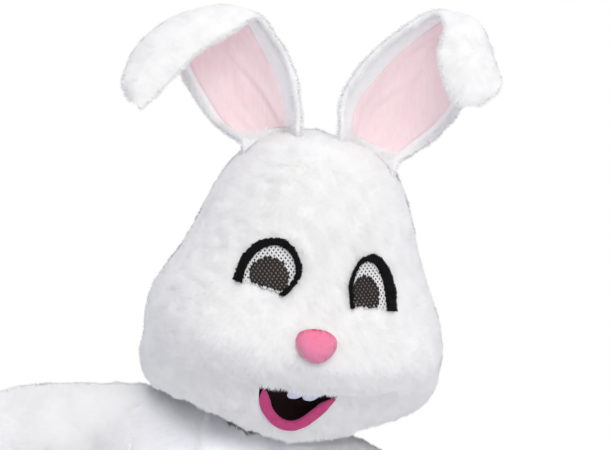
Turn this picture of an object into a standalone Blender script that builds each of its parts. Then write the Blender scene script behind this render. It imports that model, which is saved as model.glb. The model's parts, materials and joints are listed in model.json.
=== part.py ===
"""Worn bunny costume: plush mascot head with folded ears, and the one-piece plush suit under it.

Metres, plus Z up, front to minus Y. The origin is on the shoulder line at the middle of the neck.
Sides are the wearer's, so right is minus X. Every piece is a closed wall with its true thickness.
"""

import math

import bmesh
import bpy
import numpy as np

MM = 0.001
SEAM_GAP = 0.3 * MM

HEAD_CENTRE = (0.031, -0.005, 0.151)
HEAD_ROLL = math.radians(8.4)
HEAD_YAW = math.radians(11.0)
HEAD_WALL = 11 * MM
CROWN_HEIGHT = 212 * MM
SIDE_SEAM = math.radians(86)
CROWN_SEAM = 0.29
MOUTH_SEAM = 0.896
MOUTH_RIGHT = math.radians(20.6)
MOUTH_LEFT = math.radians(17.0)
MOUTH_ARCH = 0.014
JAW_SWAY = -13 * MM
REST_ROOM = -1.3

SUIT_WALL = 7 * MM
ARMHOLE_SHARE = 0.17
NECK_SHARE = 0.45
HIP_LEVEL = -0.575
CROTCH_LEVEL = -0.680
HEM_LEVEL = -1.340
ZIP_HALF_GAP = 7 * MM
ZIP_END_LEVEL = -0.500
ZIP_TOP_LEVEL = -0.018

NOSE_UP = -56.5 * MM

# The eyes in front view, in mm: place, half width, top, foot, lean, slant, border on each side, tuck.
EYE_COLUMNS = ("side", "across", "up", "half_width", "top", "foot", "lean", "slant", "outer", "inner", "tuck")
EYES = (
    (-1, -68, 22, 40, 41, -21, 5, 0.12, 9, 6.5, 20),
    (1, 66, 22, 32.5, 38, -28, 5, 0.06, 12, 4, 5),
)

# Head profile from the crown pole to the rim, sizes in mm. share is the place along the profile.
# drop is the part of the front, side or back drop that is taken below the last named height.
HEAD_COLUMNS = ("share", "height", "side", "front", "back", "drop")
HEAD_RINGS = (
    (0.00, 212, 0, 0, 0, 0.00),
    (0.10, 206, 46, 45, 47, 0.00),
    (0.20, 190, 86, 82, 88, 0.00),
    (0.30, 157, 115, 110, 118, 0.00),
    (0.40, 112, 136, 130, 138, 0.00),
    (0.50, 66, 151, 143, 152, 0.00),
    (0.58, 28, 168, 151, 161, 0.00),
    (0.66, -10, 187, 161, 167, 0.00),
    (0.74, -47, 196, 176, 169, 0.00),
    (0.82, -86, 196, 181, 164, 0.00),
    (0.87, -86, 196, 171, 157, 0.27),
    (0.91, -86, 194, 152, 149, 0.48),
    (0.95, -86, 189, 139, 139, 0.72),
    (1.00, -86, 174, 122, 126, 1.00),
)

# Suit levels from the underarm to the hem, in mm. middle is how far the ring centre is off the centre plane.
SUIT_COLUMNS = ("level", "middle", "half_width", "front", "back")
SUIT_RINGS = (
    (-230, 0, 195, 132, 124),
    (-330, 0, 188, 137, 116),
    (-430, 0, 183, 136, 112),
    (-520, 0, 197, 136, 130),
    (-575, 0, 208, 136, 139),
    (-680, 108, 107, 122, 126),
    (-760, 111, 101, 110, 113),
    (-880, 117, 92, 99, 101),
    (-1020, 125, 84, 90, 91),
    (-1160, 132, 79, 84, 84),
    (-1280, 137, 77, 81, 81),
    (-1340, 139, 78, 81, 81),
)

# Ear edges from the base, over the fold, to the tip, in mm in the row frame: inner edge, outer edge, cup.
EAR_COLUMNS = ("inner_x", "inner_y", "inner_z", "outer_x", "outer_y", "outer_z", "cup")
RIGHT_EAR = (
    (30, -62, 347, -37, -46, 344, 30),
    (30, -58, 389, -74, -30, 366, 30),
    (21, -52, 435, -98, -20, 398, 28),
    (3, -52, 472, -121, -15, 440, 26),
    (-24, -63, 502, -130, -22, 474, 24),
    (-54, -88, 483, -139, -48, 487, 20),
    (-95, -108, 457, -163, -75, 471, 15),
    (-131, -124, 419, -180, -100, 439, 11),
    (-155, -134, 393, -185, -122, 409, 6),
    (-166, -138, 382, -175, -134, 391, 2),
)
LEFT_EAR = (
    (85, -60, 344, 155, -45, 316, 28),
    (90, -56, 402, 184, -22, 336, 30),
    (110, -54, 435, 211, -12, 355, 30),
    (151, -52, 476, 241, -8, 392, 28),
    (210, -64, 505, 263, -22, 446, 24),
    (219, -90, 485, 267, -52, 470, 20),
    (210, -102, 454, 275, -82, 443, 15),
    (215, -112, 424, 282, -104, 413, 11),
    (226, -120, 395, 271, -116, 398, 6),
    (236, -122, 386, 252, -121, 387, 2),
)
EAR_HALF_WALL = 4 * MM
LINING = 1.5 * MM
EAR_PLACES = (0, 0.22, 0.31, 0.40, 0.50, 0.62, 0.77, 0.92, 1)
EAR_ROWS = 22

# Arm paths from the armhole, in mm: centre, then the ring's two half sizes.
ARM_COLUMNS = ("x", "y", "z", "up_half", "front_half")
RIGHT_ARM = (
    (-176, 0, -62, 90, 76),
    (-215, 0, -60, 89, 80),
    (-290, 0, -58, 86, 82),
    (-380, -2, -62, 78, 76),
    (-460, -6, -68, 71, 71),
    (-560, -26, -84, 65, 66),
    (-640, -48, -100, 60, 61),
    (-690, -62, -110, 58, 58),
)
LEFT_ARM = (
    (190, 0, -154, 71, 70),
    (210, 0, -156, 72, 71),
    (232, 0, -164, 73, 72),
    (253, -1, -184, 74, 73),
    (270, -2, -222, 74, 74),
    (284, -3, -280, 73, 74),
    (298, -6, -350, 70, 71),
    (313, -12, -440, 66, 67),
    (326, -34, -550, 60, 61),
    (334, -56, -640, 57, 57),
)
RIGHT_SHOULDER = (-0.168, 0.0, 0.028)
LEFT_SHOULDER = (0.184, 0.0, -0.083)
RIGHT_NECK = (-0.084, 0.0, 0.000)
LEFT_NECK = (0.084, 0.0, -0.029)
FRONT_NECK = (0.0, -0.086, -0.036)
BACK_NECK = (0.0, 0.074, -0.014)
UNDERARM = {-1: (-0.186, 0.0, -0.152), 1: (0.195, 0.0, -0.225)}


def column(rows, names, name):
    """One named column of a short table."""
    return np.array([row[names.index(name)] for row in rows], float)


def curve_through(places, values, at):
    """A smooth curve through a column's values, read at the given places."""
    at = np.clip(np.asarray(at, float), places[0], places[-1])
    slopes = np.gradient(values, places)
    index = np.clip(np.searchsorted(places, at, side="right") - 1, 0, len(places) - 2)
    step = places[index + 1] - places[index]
    part = (at - places[index]) / step
    first = values[index]
    last = values[index + 1]
    low = slopes[index] * step
    high = slopes[index + 1] * step
    cube = part**3
    square = part**2
    return (
        first * (2 * cube - 3 * square + 1)
        + low * (cube - 2 * square + part)
        + last * (3 * square - 2 * cube)
        + high * (cube - square)
    )


def unit(vectors):
    """The same directions with length one."""
    length = np.linalg.norm(vectors, axis=-1, keepdims=True)
    return vectors / np.maximum(length, 1e-12)


def ease(value):
    """A smooth step from nought to one."""
    value = np.clip(value, 0, 1)
    return value * value * (3 - 2 * value)


def turned(points, roll, yaw):
    """Points turned about the upright axis by the yaw, then about the front to back axis by the roll."""
    x = points[..., 0] * math.cos(yaw) - points[..., 1] * math.sin(yaw)
    y = points[..., 0] * math.sin(yaw) + points[..., 1] * math.cos(yaw)
    z = points[..., 2]
    return np.stack(
        [
            x * math.cos(roll) + z * math.sin(roll),
            y,
            z * math.cos(roll) - x * math.sin(roll),
        ],
        axis=-1,
    )


def to_row(points):
    """Head points moved from the head's own axes to the row frame."""
    return turned(points, HEAD_ROLL, HEAD_YAW) + np.array(HEAD_CENTRE)


def turned_way(directions):
    """Directions of the head's own axes, turned into the row frame."""
    return turned(directions, HEAD_ROLL, HEAD_YAW)


def to_head(points):
    """Points of the row frame in the head's own axes."""
    moved = points - np.array(HEAD_CENTRE)
    cos_roll = math.cos(HEAD_ROLL)
    sin_roll = math.sin(HEAD_ROLL)
    x = moved[..., 0] * cos_roll - moved[..., 2] * sin_roll
    z = moved[..., 0] * sin_roll + moved[..., 2] * cos_roll
    y = moved[..., 1]
    cos_yaw = math.cos(HEAD_YAW)
    sin_yaw = math.sin(HEAD_YAW)
    return np.stack([x * cos_yaw + y * sin_yaw, y * cos_yaw - x * sin_yaw, z], axis=-1)


def bump(value, middle, width):
    """A bell curve of height one."""
    return np.exp(-(((value - middle) / width) ** 2))


def head_point(angle, share):
    """The head's outer surface. angle is nought at the front and grows to the wearer's left."""
    share_column = column(HEAD_RINGS, HEAD_COLUMNS, "share")
    read = {
        name: curve_through(share_column, column(HEAD_RINGS, HEAD_COLUMNS, name), share)
        for name in ("height", "side", "front", "back", "drop")
    }
    cos = np.cos(angle)
    sin = np.sin(angle)
    front = np.maximum(cos, 0) ** 2
    back = np.maximum(-cos, 0) ** 2
    left_room = bump(np.degrees(angle), 92, 30)
    right_room = bump(np.degrees(angle), -92, 30)
    fall = 64 + 34 * front**1.5 - 20 * left_room - REST_ROOM * right_room - 4 * back
    height = (read["height"] - read["drop"] * fall) * MM
    side = np.maximum(read["side"], 1e-4) * MM
    depth = np.maximum(np.where(cos > 0, read["front"], read["back"]), 1e-4) * MM
    power = 2.0 + 0.35 * ease((share - 0.2) / 0.5)
    reach = (np.abs(sin / side) ** power + np.abs(cos / depth) ** power) ** (-1 / power)
    degrees = np.degrees(angle)
    cheek = bump(np.abs(degrees), 40, 17) * bump(height, -0.064, 0.034)
    muzzle = bump(degrees, 0, 17) * bump(height, -0.085, 0.026)
    socket = bump(np.abs(degrees), 27, 13) * bump(height, 0.026, 0.026)
    reach = reach + cheek * 8 * MM + muzzle * 7 * MM - socket * 4 * MM
    sway = JAW_SWAY * ease((-0.1 - height) / 0.06) * np.maximum(cos, 0)
    return np.stack([reach * sin + sway, -reach * cos, height], axis=-1)


def head_normal(angle, share):
    """Outward directions of the head's surface."""
    step = 2e-3
    low = np.maximum(share - step, 2e-3)
    across = head_point(angle + step, share) - head_point(angle - step, share)
    down = head_point(angle, share + step) - head_point(angle, low)
    return unit(np.cross(across, -down))


def surface_at(across, up):
    """The head's surface straight behind front-view places: points and outward directions."""
    across = np.asarray(across, float)
    up = np.asarray(up, float)
    angle = np.zeros_like(across)
    share = np.full_like(across, 0.6)
    for _ in range(40):
        low = np.full_like(share, 0.3)
        high = np.full_like(share, 0.995)
        for _ in range(26):
            middle = (low + high) / 2
            above = head_point(angle, middle)[..., 2] > up
            low = np.where(above, middle, low)
            high = np.where(above, high, middle)
        share = (low + high) / 2
        found = head_point(angle, share)
        angle = np.clip(angle + (across - found[..., 0]) / 0.19, -1.4, 1.4)
    return head_point(angle, share), head_normal(angle, share)


def crown_height(points):
    """Height of the crown over places given in the head's axes."""
    angle = np.arctan2(points[..., 0], -points[..., 1])
    reach = np.hypot(points[..., 0], points[..., 1])
    low = np.full_like(reach, 0.005)
    high = np.full_like(reach, 0.5)
    for _ in range(30):
        middle = (low + high) / 2
        found = head_point(angle, middle)
        inside = np.hypot(found[..., 0], found[..., 1]) < reach
        low = np.where(inside, middle, low)
        high = np.where(inside, high, middle)
    return head_point(angle, low)[..., 2]


def wall_mesh(outer, inner, wrap=False, pole=False):
    """Points and faces of the closed wall between two equal grids, outer side out.

    Grids have rows down and columns across. wrap joins the last column to the first.
    pole makes the first row one point.
    """
    rows, columns = outer.shape[:2]
    first_row = 1 if pole else 0
    points = []
    index = np.zeros((2, rows, columns), int)
    for side, grid in enumerate((outer, inner)):
        if pole:
            index[side, 0, :] = len(points)
            points.append(grid[0, 0])
        for row in range(first_row, rows):
            for place in range(columns):
                index[side, row, place] = len(points)
                points.append(grid[row, place])
    faces = []
    spans = columns if wrap else columns - 1
    for row in range(rows - 1):
        for place in range(spans):
            after = (place + 1) % columns
            spots = ((row, place), (row + 1, place), (row + 1, after), (row, after))
            corners = [index[0, a, b] for a, b in spots]
            back = [index[1, a, b] for a, b in spots[::-1]]
            for loop in (corners, back):
                kept = [c for i, c in enumerate(loop) if c != loop[i - 1]]
                faces.append(kept)
    for place in range(spans):
        after = (place + 1) % columns
        last = rows - 1
        near, far = index[0, last], index[1, last]
        faces.append((near[after], near[place], far[place], far[after]))
        if not pole:
            faces.append((index[0, 0, place], index[0, 0, after], index[1, 0, after], index[1, 0, place]))
    if not wrap:
        end = columns - 1
        for row in range(rows - 1):
            near, far = index[0, :, 0], index[1, :, 0]
            faces.append((near[row + 1], near[row], far[row], far[row + 1]))
            near, far = index[0, :, end], index[1, :, end]
            faces.append((near[row], near[row + 1], far[row + 1], far[row]))
    return points, faces


def material(name, colour, roughness):
    """A Principled material."""
    made = bpy.data.materials.new(name)
    made.use_nodes = True
    shader = made.node_tree.nodes["Principled BSDF"]
    shader.inputs["Base Color"].default_value = (*colour, 1)
    shader.inputs["Roughness"].default_value = roughness
    made.diffuse_color = (*colour, 1)
    return made


def solid(name, points, faces, look, collection):
    """A named mesh object, its faces facing out."""
    mesh = bpy.data.meshes.new(name)
    mesh.from_pydata([tuple(map(float, p)) for p in points], [], [tuple(map(int, f)) for f in faces])
    work = bmesh.new()
    work.from_mesh(mesh)
    bmesh.ops.triangulate(work, faces=work.faces[:], quad_method="BEAUTY")
    bmesh.ops.recalc_face_normals(work, faces=work.faces[:])
    if work.calc_volume(signed=True) < 0:
        bmesh.ops.reverse_faces(work, faces=work.faces[:])
    work.to_mesh(mesh)
    work.free()
    mesh.materials.append(look)
    made = bpy.data.objects.new(name, mesh)
    collection.objects.link(made)
    return made


def wall(name, outer, normals, thickness, look, collection, wrap=False, pole=False):
    """A wall from its outer grid and outward directions."""
    inner = outer - normals * thickness
    points, faces = wall_mesh(outer, inner, wrap, pole)
    return solid(name, points, faces, look, collection)


def mouth_place(angle):
    """The place between the mouth's corners, from minus one at the right corner to one at the left."""
    place = np.where(angle < 0, angle / MOUTH_RIGHT, angle / MOUTH_LEFT)
    return np.clip(place, -1, 1)


def mouth_angle(place):
    """The angle of a place between the mouth's corners."""
    return np.where(place < 0, place * MOUTH_RIGHT, place * MOUTH_LEFT)


def mouth_dip(place):
    """How far down the profile the chin's top edge dips at a place of the mouth, in shares."""
    return (0.980 - MOUTH_SEAM) * (1 - np.abs(place) ** 2.4) ** 0.64


def mouth_rise(angle):
    """How far up the profile the face's lower edge arches over the mouth, in shares."""
    return MOUTH_ARCH * (1 - mouth_place(angle) ** 2)


def chin_seam(angle):
    """Share of the seam between face and chin."""
    return MOUTH_SEAM - 0.02 * np.sin(angle) ** 2


def mouth_angles():
    """Columns of the chin: wide steps to the mouth corners and round steps over the dip."""
    right = np.linspace(-SIDE_SEAM, -MOUTH_RIGHT, 8)[:-1]
    dip = mouth_angle(-np.cos(np.linspace(0, math.pi, 13)))
    left = np.linspace(MOUTH_LEFT, SIDE_SEAM, 8)[1:]
    return np.concatenate([right, dip, left])


def head_wall(name, angle, share, looks, collection):
    """A panel of the head over a grid of angles and shares."""
    outer = to_row(head_point(angle, share))
    normals = turned_way(head_normal(angle, share))
    return wall(name, outer, normals, HEAD_WALL, looks["plush"], collection)


def build_head(looks, collection):
    """The crown, face, chin and back of the head."""
    around = np.linspace(-math.pi, math.pi, 33)[:-1]
    rows = np.linspace(0.0, CROWN_SEAM - 0.0006, 6)
    angle, share = np.meshgrid(around, rows)
    outer = head_point(angle, share)
    normals = head_normal(angle, share)
    outer[0] = np.array([0, 0, CROWN_HEIGHT])
    normals[0] = np.array([0, 0, 1])
    outer, normals = to_row(outer), turned_way(normals)
    wall("head_crown", outer, normals, HEAD_WALL, looks["plush"], collection, wrap=True, pole=True)

    columns = np.linspace(-SIDE_SEAM, SIDE_SEAM, 35)
    low = chin_seam(columns) - 0.0008 - mouth_rise(columns)
    part = np.linspace(0, 1, 16)[:, None]
    share = (CROWN_SEAM + 0.0006) + (low - CROWN_SEAM - 0.0006) * part
    angle = np.broadcast_to(columns, share.shape)
    face = head_wall("head_face", angle, share, looks, collection)

    columns = mouth_angles()
    top = chin_seam(columns) + 0.0012 + mouth_dip(mouth_place(columns))
    part = np.linspace(0, 1, 5)[:, None]
    share = top + (1 - top) * part
    angle = np.broadcast_to(columns, share.shape)
    head_wall("head_chin", angle, share, looks, collection)

    seam = SEAM_GAP / 0.18
    for side, name in ((1, "head_back_left"), (-1, "head_back_right")):
        columns = side * np.linspace(SIDE_SEAM + seam * 1.4, math.pi - seam, 13)
        rows = np.linspace(CROWN_SEAM + 0.0006, 1, 15)
        angle, share = np.meshgrid(columns, rows)
        head_wall(name, angle, share, looks, collection)
    return face


def eye_outline(eye, border, grow=0.0, count=21):
    """The arch of an eye in front view, from its left foot over the top to its right foot.

    It is half an oval that leans to the middle of the face. Its foot slants up to the outside, and
    the foot nearer the nose is tucked in. border is the share of the black border that is taken off.
    """
    side = eye["side"]
    outer = eye["outer"] * border - grow
    inner = eye["inner"] * border - grow
    half = (2 * eye["half_width"] - outer - inner) / 2
    shift = side * (inner - outer) / 2
    tall = eye["top"] - eye["foot"] - (outer + inner) / 2
    turn = np.linspace(math.pi, 0, count)
    x = half * np.cos(turn)
    up = np.sin(turn) ** 0.86
    z = eye["foot"] + tall * up + side * x * eye["slant"] * (1 - up)
    tuck = side * eye["tuck"] * np.clip(1 - up / 0.6, 0, 1) ** 2 * (side * x < 0)
    x = eye["across"] + x + shift + tuck - side * eye["lean"] * up
    return np.stack([x, eye["up"] + z], axis=-1) * MM


def build_eyes(face, looks, collection, helpers):
    """Cuts the eye openings, and adds a screen and a black border to each."""
    for row in EYES:
        eye = dict(zip(EYE_COLUMNS, row))
        name = "left" if eye["side"] > 0 else "right"
        middle = np.array([eye["across"], eye["up"]]) * MM
        normal = surface_at(middle[:1], middle[1:])[1][0]
        aim = unit(normal * np.array([1, 1, 0.5]))
        hole = eye_outline(eye, 1.0)
        spots = surface_at(hole[:, 0], hole[:, 1])[0]
        count = len(hole)
        points = np.concatenate([to_row(spots + aim * 30 * MM), to_row(spots - aim * 40 * MM)])
        faces = [tuple(range(count)), tuple(range(2 * count - 1, count - 1, -1))]
        faces += [(i, (i + 1) % count, count + (i + 1) % count, count + i) for i in range(count)]
        cutter = solid("eye_cutter_" + name, points, faces, looks["plush"], helpers)
        cutter.hide_render = True
        cutter.display_type = "WIRE"
        cut = face.modifiers.new("eye_" + name, "BOOLEAN")
        cut.operation = "DIFFERENCE"
        cut.solver = "EXACT"
        cut.object = cutter

        rim = middle + (hole - middle) * 0.975
        rings = np.linspace(1, 0.0, 4)[:, None, None]
        grid = middle + (rim - middle) * rings
        spots, normals = surface_at(grid[..., 0], grid[..., 1])
        flat = np.broadcast_to(aim, normals.shape)
        outer = spots[::-1] - flat[::-1] * 2.5 * MM
        outer, flat = to_row(outer), turned_way(flat)
        wall("eye_%s_screen" % name, outer, flat, 1.5 * MM, looks["screen"], collection, wrap=True, pole=True)

        inner_edge = eye_outline(eye, 1.0, 0.4)
        outer_edge = eye_outline(eye, 0.0)
        part = np.linspace(0, 1, 3)[:, None, None]
        grid = inner_edge + (outer_edge - inner_edge) * part
        spots, normals = surface_at(grid[..., 0], grid[..., 1])
        outer = spots + normals * 3.4 * MM
        wall("eye_%s_border" % name, to_row(outer), turned_way(normals), 3.0 * MM, looks["black"], collection)


def build_nose(looks, collection):
    """A padded pad, a rounded triangle in outline, on the muzzle."""
    turn = np.linspace(0, 2 * math.pi, 25)[:-1]
    reach = 1 / (1 + 0.05 * np.cos(3 * (turn - math.pi / 2)))
    outline = np.stack([24.5 * MM * np.cos(turn) * reach, 19.5 * MM * np.sin(turn) * reach], axis=-1)
    outline[:, 0] *= 1 + 0.06 * np.sin(turn)
    outline[:, 1] -= 2 * MM
    part = np.sin(np.linspace(0, math.pi / 2, 6))[:, None, None]
    grid = outline * part
    spots, normals = surface_at(grid[..., 0] - 4.5 * MM, NOSE_UP + grid[..., 1])
    aim = unit(surface_at(np.zeros(1), np.full(1, NOSE_UP))[1][0] * np.array([0, 1, 0.6]))
    dome = np.sqrt(np.clip(1 - part[..., 0] ** 2.4, 0, 1))
    thick = (2.0 + 16.0 * dome) * MM
    outer = spots + normals * 0.6 * MM + aim * thick[..., None]
    inner = spots + normals * 0.6 * MM
    points, faces = wall_mesh(to_row(outer), to_row(inner), wrap=True, pole=True)
    solid("nose", points, faces, looks["pink"], collection)


def lip_path(count):
    """The chin's dipped top edge moved in by half the roll, with directions along, out and across."""
    share_of = np.linspace(-1, 1, count)
    place = np.sin(share_of * math.pi / 2)
    turn = mouth_angle(place)
    share = chin_seam(turn) + mouth_dip(place)
    return head_point(turn, share), head_normal(turn, share)


def pocket_normal(grid, hint):
    """Directions square to a bowl of rings round a middle point, on the side of the hinted ones."""
    around = np.roll(grid, -1, axis=1) - np.roll(grid, 1, axis=1)
    around[0] = around[1]
    out = np.gradient(grid, axis=0)
    normal = unit(np.cross(around, out))
    normal = normal * np.sign(np.sum(normal * hint, axis=-1, keepdims=True))
    normal[0] = unit(normal[0].sum(axis=0))
    return normal


def build_mouth(looks, collection):
    """The lip roll in the chin's dip, the dark pocket behind it and two teeth."""
    edge, normal = lip_path(27)
    along = unit(np.gradient(edge, axis=0))
    out = unit(normal)
    inward = unit(np.cross(out, along))
    middle = edge.mean(axis=0)
    flip = np.sign(np.sum((middle - edge) * inward, axis=-1, keepdims=True))
    inward = inward * np.where(flip == 0, 1, flip)
    keep = slice(2, -2)
    centre = edge[keep] + inward[keep] * 7.3 * MM - out[keep] * 5.5 * MM
    turn = np.linspace(0, 2 * math.pi, 10)[:-1]
    ring = centre[:, None] + inward[keep][:, None] * (6.9 * MM * np.cos(turn))[:, None]
    ring = to_row(ring + out[keep][:, None] * (5.4 * MM * np.sin(turn))[:, None])
    rows, columns = ring.shape[:2]
    points = list(ring.reshape(-1, 3))
    faces = []
    for start in range(0, (rows - 1) * columns, columns):
        for place in range(columns):
            after = (place + 1) % columns
            faces.append((start + place, start + after, start + columns + after, start + columns + place))
    faces.append(tuple(range(columns)))
    faces.append(tuple(range((rows - 1) * columns, rows * columns)))
    solid("lip", points, faces, looks["lip"], collection)

    turn = np.linspace(0, 2 * math.pi, 25)[:-1]
    part = np.linspace(0, 1, 5)[:, None]
    wide = (JAW_SWAY / MM * 0.7 + 60 * part * np.cos(turn)) * MM
    tall = (-145 + 31 * part * np.sin(turn)) * MM
    spots, normals = surface_at(wide, tall)
    pocket = 26 * MM * np.cos(part * math.pi / 2)
    clear = (0.8 + 2.4 * part * np.maximum(np.sin(turn), 0)) * MM
    outer = spots - normals * (HEAD_WALL + clear)[..., None]
    outer = to_row(outer + np.array([0.0, 1.0, 0.0]) * pocket[..., None])
    normals = pocket_normal(outer, turned_way(normals))
    wall("mouth_lining", outer, normals, 2.0 * MM, looks["dark"], collection, wrap=True, pole=True)

    for side, name in ((-1, "right"), (1, "left")):
        columns = np.sort(side * np.radians(np.linspace(0.35, 7.6, 4)))
        top = chin_seam(columns) + 0.0001 - mouth_rise(columns)
        part = np.linspace(0, 1, 4)[:, None]
        share = top + 0.028 * part
        angle = columns * (1 - 0.10 * part)
        outer = head_point(angle, share)
        normals = head_normal(angle, share)
        outer = outer - normals * (3 + 3 * part[..., None]) * MM
        wall("tooth_" + name, to_row(outer), turned_way(normals), 4 * MM, looks["tooth"], collection)


def ear_grid(table, rows, cols):
    """Middle surface of an ear and the directions its lined front faces."""
    length = np.zeros(len(table))
    inner = np.array([row[0:3] for row in table], float) * MM
    outer = np.array([row[3:6] for row in table], float) * MM
    cup = column(table, EAR_COLUMNS, "cup") * MM
    middle = (inner + outer) / 2
    length[1:] = np.cumsum(np.linalg.norm(np.diff(middle, axis=0), axis=1))
    length /= length[-1]
    fine = np.linspace(0, 1, 81)
    edge_in = np.stack([curve_through(length, inner[:, axis], fine) for axis in range(3)], axis=-1)
    edge_out = np.stack([curve_through(length, outer[:, axis], fine) for axis in range(3)], axis=-1)
    depth = curve_through(length, cup, fine)
    place = np.linspace(0, 1, 41)
    flat = edge_in[:, None] + (edge_out - edge_in)[:, None] * place[None, :, None]
    along = unit(np.gradient(flat, axis=0))
    across = unit(edge_out - edge_in)[:, None]
    side = 1.0 if table is RIGHT_EAR else -1.0
    front = unit(np.cross(along, across)) * side
    belly = (4 * place * (1 - place))[None, :, None]
    surface = flat - front * belly * depth[:, None, None]
    along = unit(np.gradient(surface, axis=0))
    across = unit(np.gradient(surface, axis=1))
    front = unit(np.cross(along, across)) * side
    return sample(surface, rows, cols), unit(sample(front, rows, cols))


def sample(grid, rows, cols):
    """A grid read at shares of its rows and columns."""
    row = rows * (grid.shape[0] - 1)
    col = cols * (grid.shape[1] - 1)
    r0 = np.clip(np.floor(row).astype(int), 0, grid.shape[0] - 2)
    c0 = np.clip(np.floor(col).astype(int), 0, grid.shape[1] - 2)
    fr = (row - r0)[:, None, None]
    fc = (col - c0)[None, :, None]
    a = grid[r0][:, c0]
    b = grid[r0 + 1][:, c0]
    c = grid[r0][:, c0 + 1]
    d = grid[r0 + 1][:, c0 + 1]
    return a * (1 - fr) * (1 - fc) + b * fr * (1 - fc) + c * (1 - fr) * fc + d * fr * fc


def stood_on_crown(grid):
    """An ear's grid with its first row set just over the crown and the next rows kept above it."""
    for row in range(7):
        local = to_head(grid[row])
        over = crown_height(local) + (1.15 + 2.2 * row) * MM
        local[..., 2] = over if row == 0 else np.maximum(local[..., 2], over)
        grid[row] = to_row(local)
    return grid


def build_ears(looks, collection):
    """Two padded ears standing on the crown, each with its pink lining."""
    for table, name in ((RIGHT_EAR, "right"), (LEFT_EAR, "left")):
        surface, front = ear_grid(table, np.linspace(0, 1, EAR_ROWS), np.array(EAR_PLACES))
        face = stood_on_crown(surface + front * EAR_HALF_WALL)
        back = stood_on_crown(surface - front * EAR_HALF_WALL)
        points, faces = wall_mesh(back, face)
        solid("ear_%s_outer" % name, points, faces, looks["plush"], collection)
        covered = (slice(1, -2), slice(1, -1))
        lower = face[covered] + front[covered] * 0.5 * MM
        upper = lower + front[covered] * LINING
        points, faces = wall_mesh(lower, upper)
        solid("ear_%s_lining" % name, points, faces, looks["satin"], collection)


def suit_ring(share):
    """Ring sizes of the suit below the underarm, by share of the way from shoulder to hem."""
    level = -0.230 + (HEM_LEVEL + 0.230) * np.clip((share - ARMHOLE_SHARE) / (1 - ARMHOLE_SHARE), 0, 1)
    places = -column(SUIT_RINGS, SUIT_COLUMNS, "level") * MM
    sizes = [column(SUIT_RINGS, SUIT_COLUMNS, name) * MM for name in SUIT_COLUMNS[1:]]
    return (level, *[curve_through(places, size, -level) for size in sizes])


def below_armhole(side, face, across, share):
    """A suit point below the underarm. across runs from the centre or inseam edge to the side seam."""
    level, middle, half, front, back = suit_ring(share)
    depth = front if face < 0 else back
    fork = 0.5 * ease((HIP_LEVEL - level) / (HIP_LEVEL - CROTCH_LEVEL))
    in_torso = level > CROTCH_LEVEL
    reach = middle + half
    middle = np.where(in_torso, reach * fork, middle)
    half = np.where(in_torso, reach * (1 - fork), half)
    cos_start = np.where(in_torso, -fork / (1 - fork), -1.0)
    start = np.arccos(np.clip(cos_start, -1, 1))
    angle = start * (1 - across)
    power = 0.94
    x = middle + half * np.sign(np.cos(angle)) * np.abs(np.cos(angle)) ** power
    y = face * depth * np.sin(angle) ** power
    x = np.where((across <= 0) & in_torso, 0.0, x)
    return np.stack([side * x, y, level], axis=-1)


def bezier(first, second, third, last, part):
    """A cubic between four rows of points."""
    part = part[..., None]
    rest = 1 - part
    return first * rest**3 + 3 * second * rest**2 * part + 3 * third * rest * part**2 + last * part**3


def top_edge(side, face, across):
    """The neckline and shoulder seam of one front or back panel."""
    neck = np.array(LEFT_NECK if side > 0 else RIGHT_NECK)
    tip = np.array(LEFT_SHOULDER if side > 0 else RIGHT_SHOULDER)
    middle = np.array(FRONT_NECK if face < 0 else BACK_NECK)
    turn = np.clip(across / NECK_SHARE, 0, 1) * math.pi / 2
    height = neck[2] + (middle[2] - neck[2]) * np.cos(turn) ** 1.4
    curved = np.stack([neck[0] * np.sin(turn), middle[1] * np.cos(turn), height], axis=-1)
    part = np.clip((across - NECK_SHARE) / (1 - NECK_SHARE), 0, 1)[..., None]
    straight = neck + (tip - neck) * part
    return np.where((across < NECK_SHARE)[..., None], curved, straight)


def suit_point(side, face, across, share):
    """The suit's outer surface on one quarter. share runs from the neck or shoulder to the hem."""
    across = np.asarray(across, float)
    share = np.asarray(share, float)
    low = below_armhole(side, face, np.clip(across, 0, 1), np.maximum(share, ARMHOLE_SHARE))
    part = np.clip(share / ARMHOLE_SHARE, 0, 1)
    chest = below_armhole(side, face, np.clip(across, 0, 1), np.full_like(share, ARMHOLE_SHARE))
    under = np.array(UNDERARM[side])
    lift = under[2] - (-0.230)
    chest = chest.copy()
    chest[..., 2] += lift * ease((across - 0.35) / 0.65)
    low[..., 2] += lift * ease((across - 0.35) / 0.65) * ease(1 - (share - ARMHOLE_SHARE) / 0.16)
    top = top_edge(side, face, across)
    shoulder = ease((across - 0.10) / 0.36)[..., None]
    span = np.linalg.norm(top - chest, axis=-1, keepdims=True)
    up = np.array([0.0, 0.0, 1.0])
    over = np.array([0.0, -face * 1.0, 0.0])
    rise = unit(np.array([0.0, -face * 0.80, 0.60]))
    leave = unit(up + np.array([0, face * 0.55, 0]) * ease((across - 0.7) / 0.3)[..., None])
    arrive = unit(rise * (1 - shoulder) + over * shoulder)
    high = bezier(top, top - arrive * span * 0.36, chest + leave * span * 0.36, chest, part)
    return np.where((share < ARMHOLE_SHARE)[..., None], high, low)


def suit_normal(side, face, across, share):
    """Outward directions of the suit's surface, square to the seams where two panels meet."""
    step = 1.5e-3
    right = suit_point(side, face, np.minimum(across + step, 1), share)
    left = suit_point(side, face, np.maximum(across - step, 0), share)
    below = suit_point(side, face, across, np.minimum(share + step, 1))
    above = suit_point(side, face, across, np.maximum(share - step, 0))
    normal = unit(np.cross(right - left, above - below)) * side * -face
    torso = suit_point(side, face, across, share)[..., 2] > HIP_LEVEL
    flat = normal.copy()
    flat[..., 0] = 0
    square = ((across <= 0.002) & torso) | ((across >= 0.998) & (share <= ARMHOLE_SHARE))
    return np.where(square[..., None], unit(flat), normal)


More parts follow.
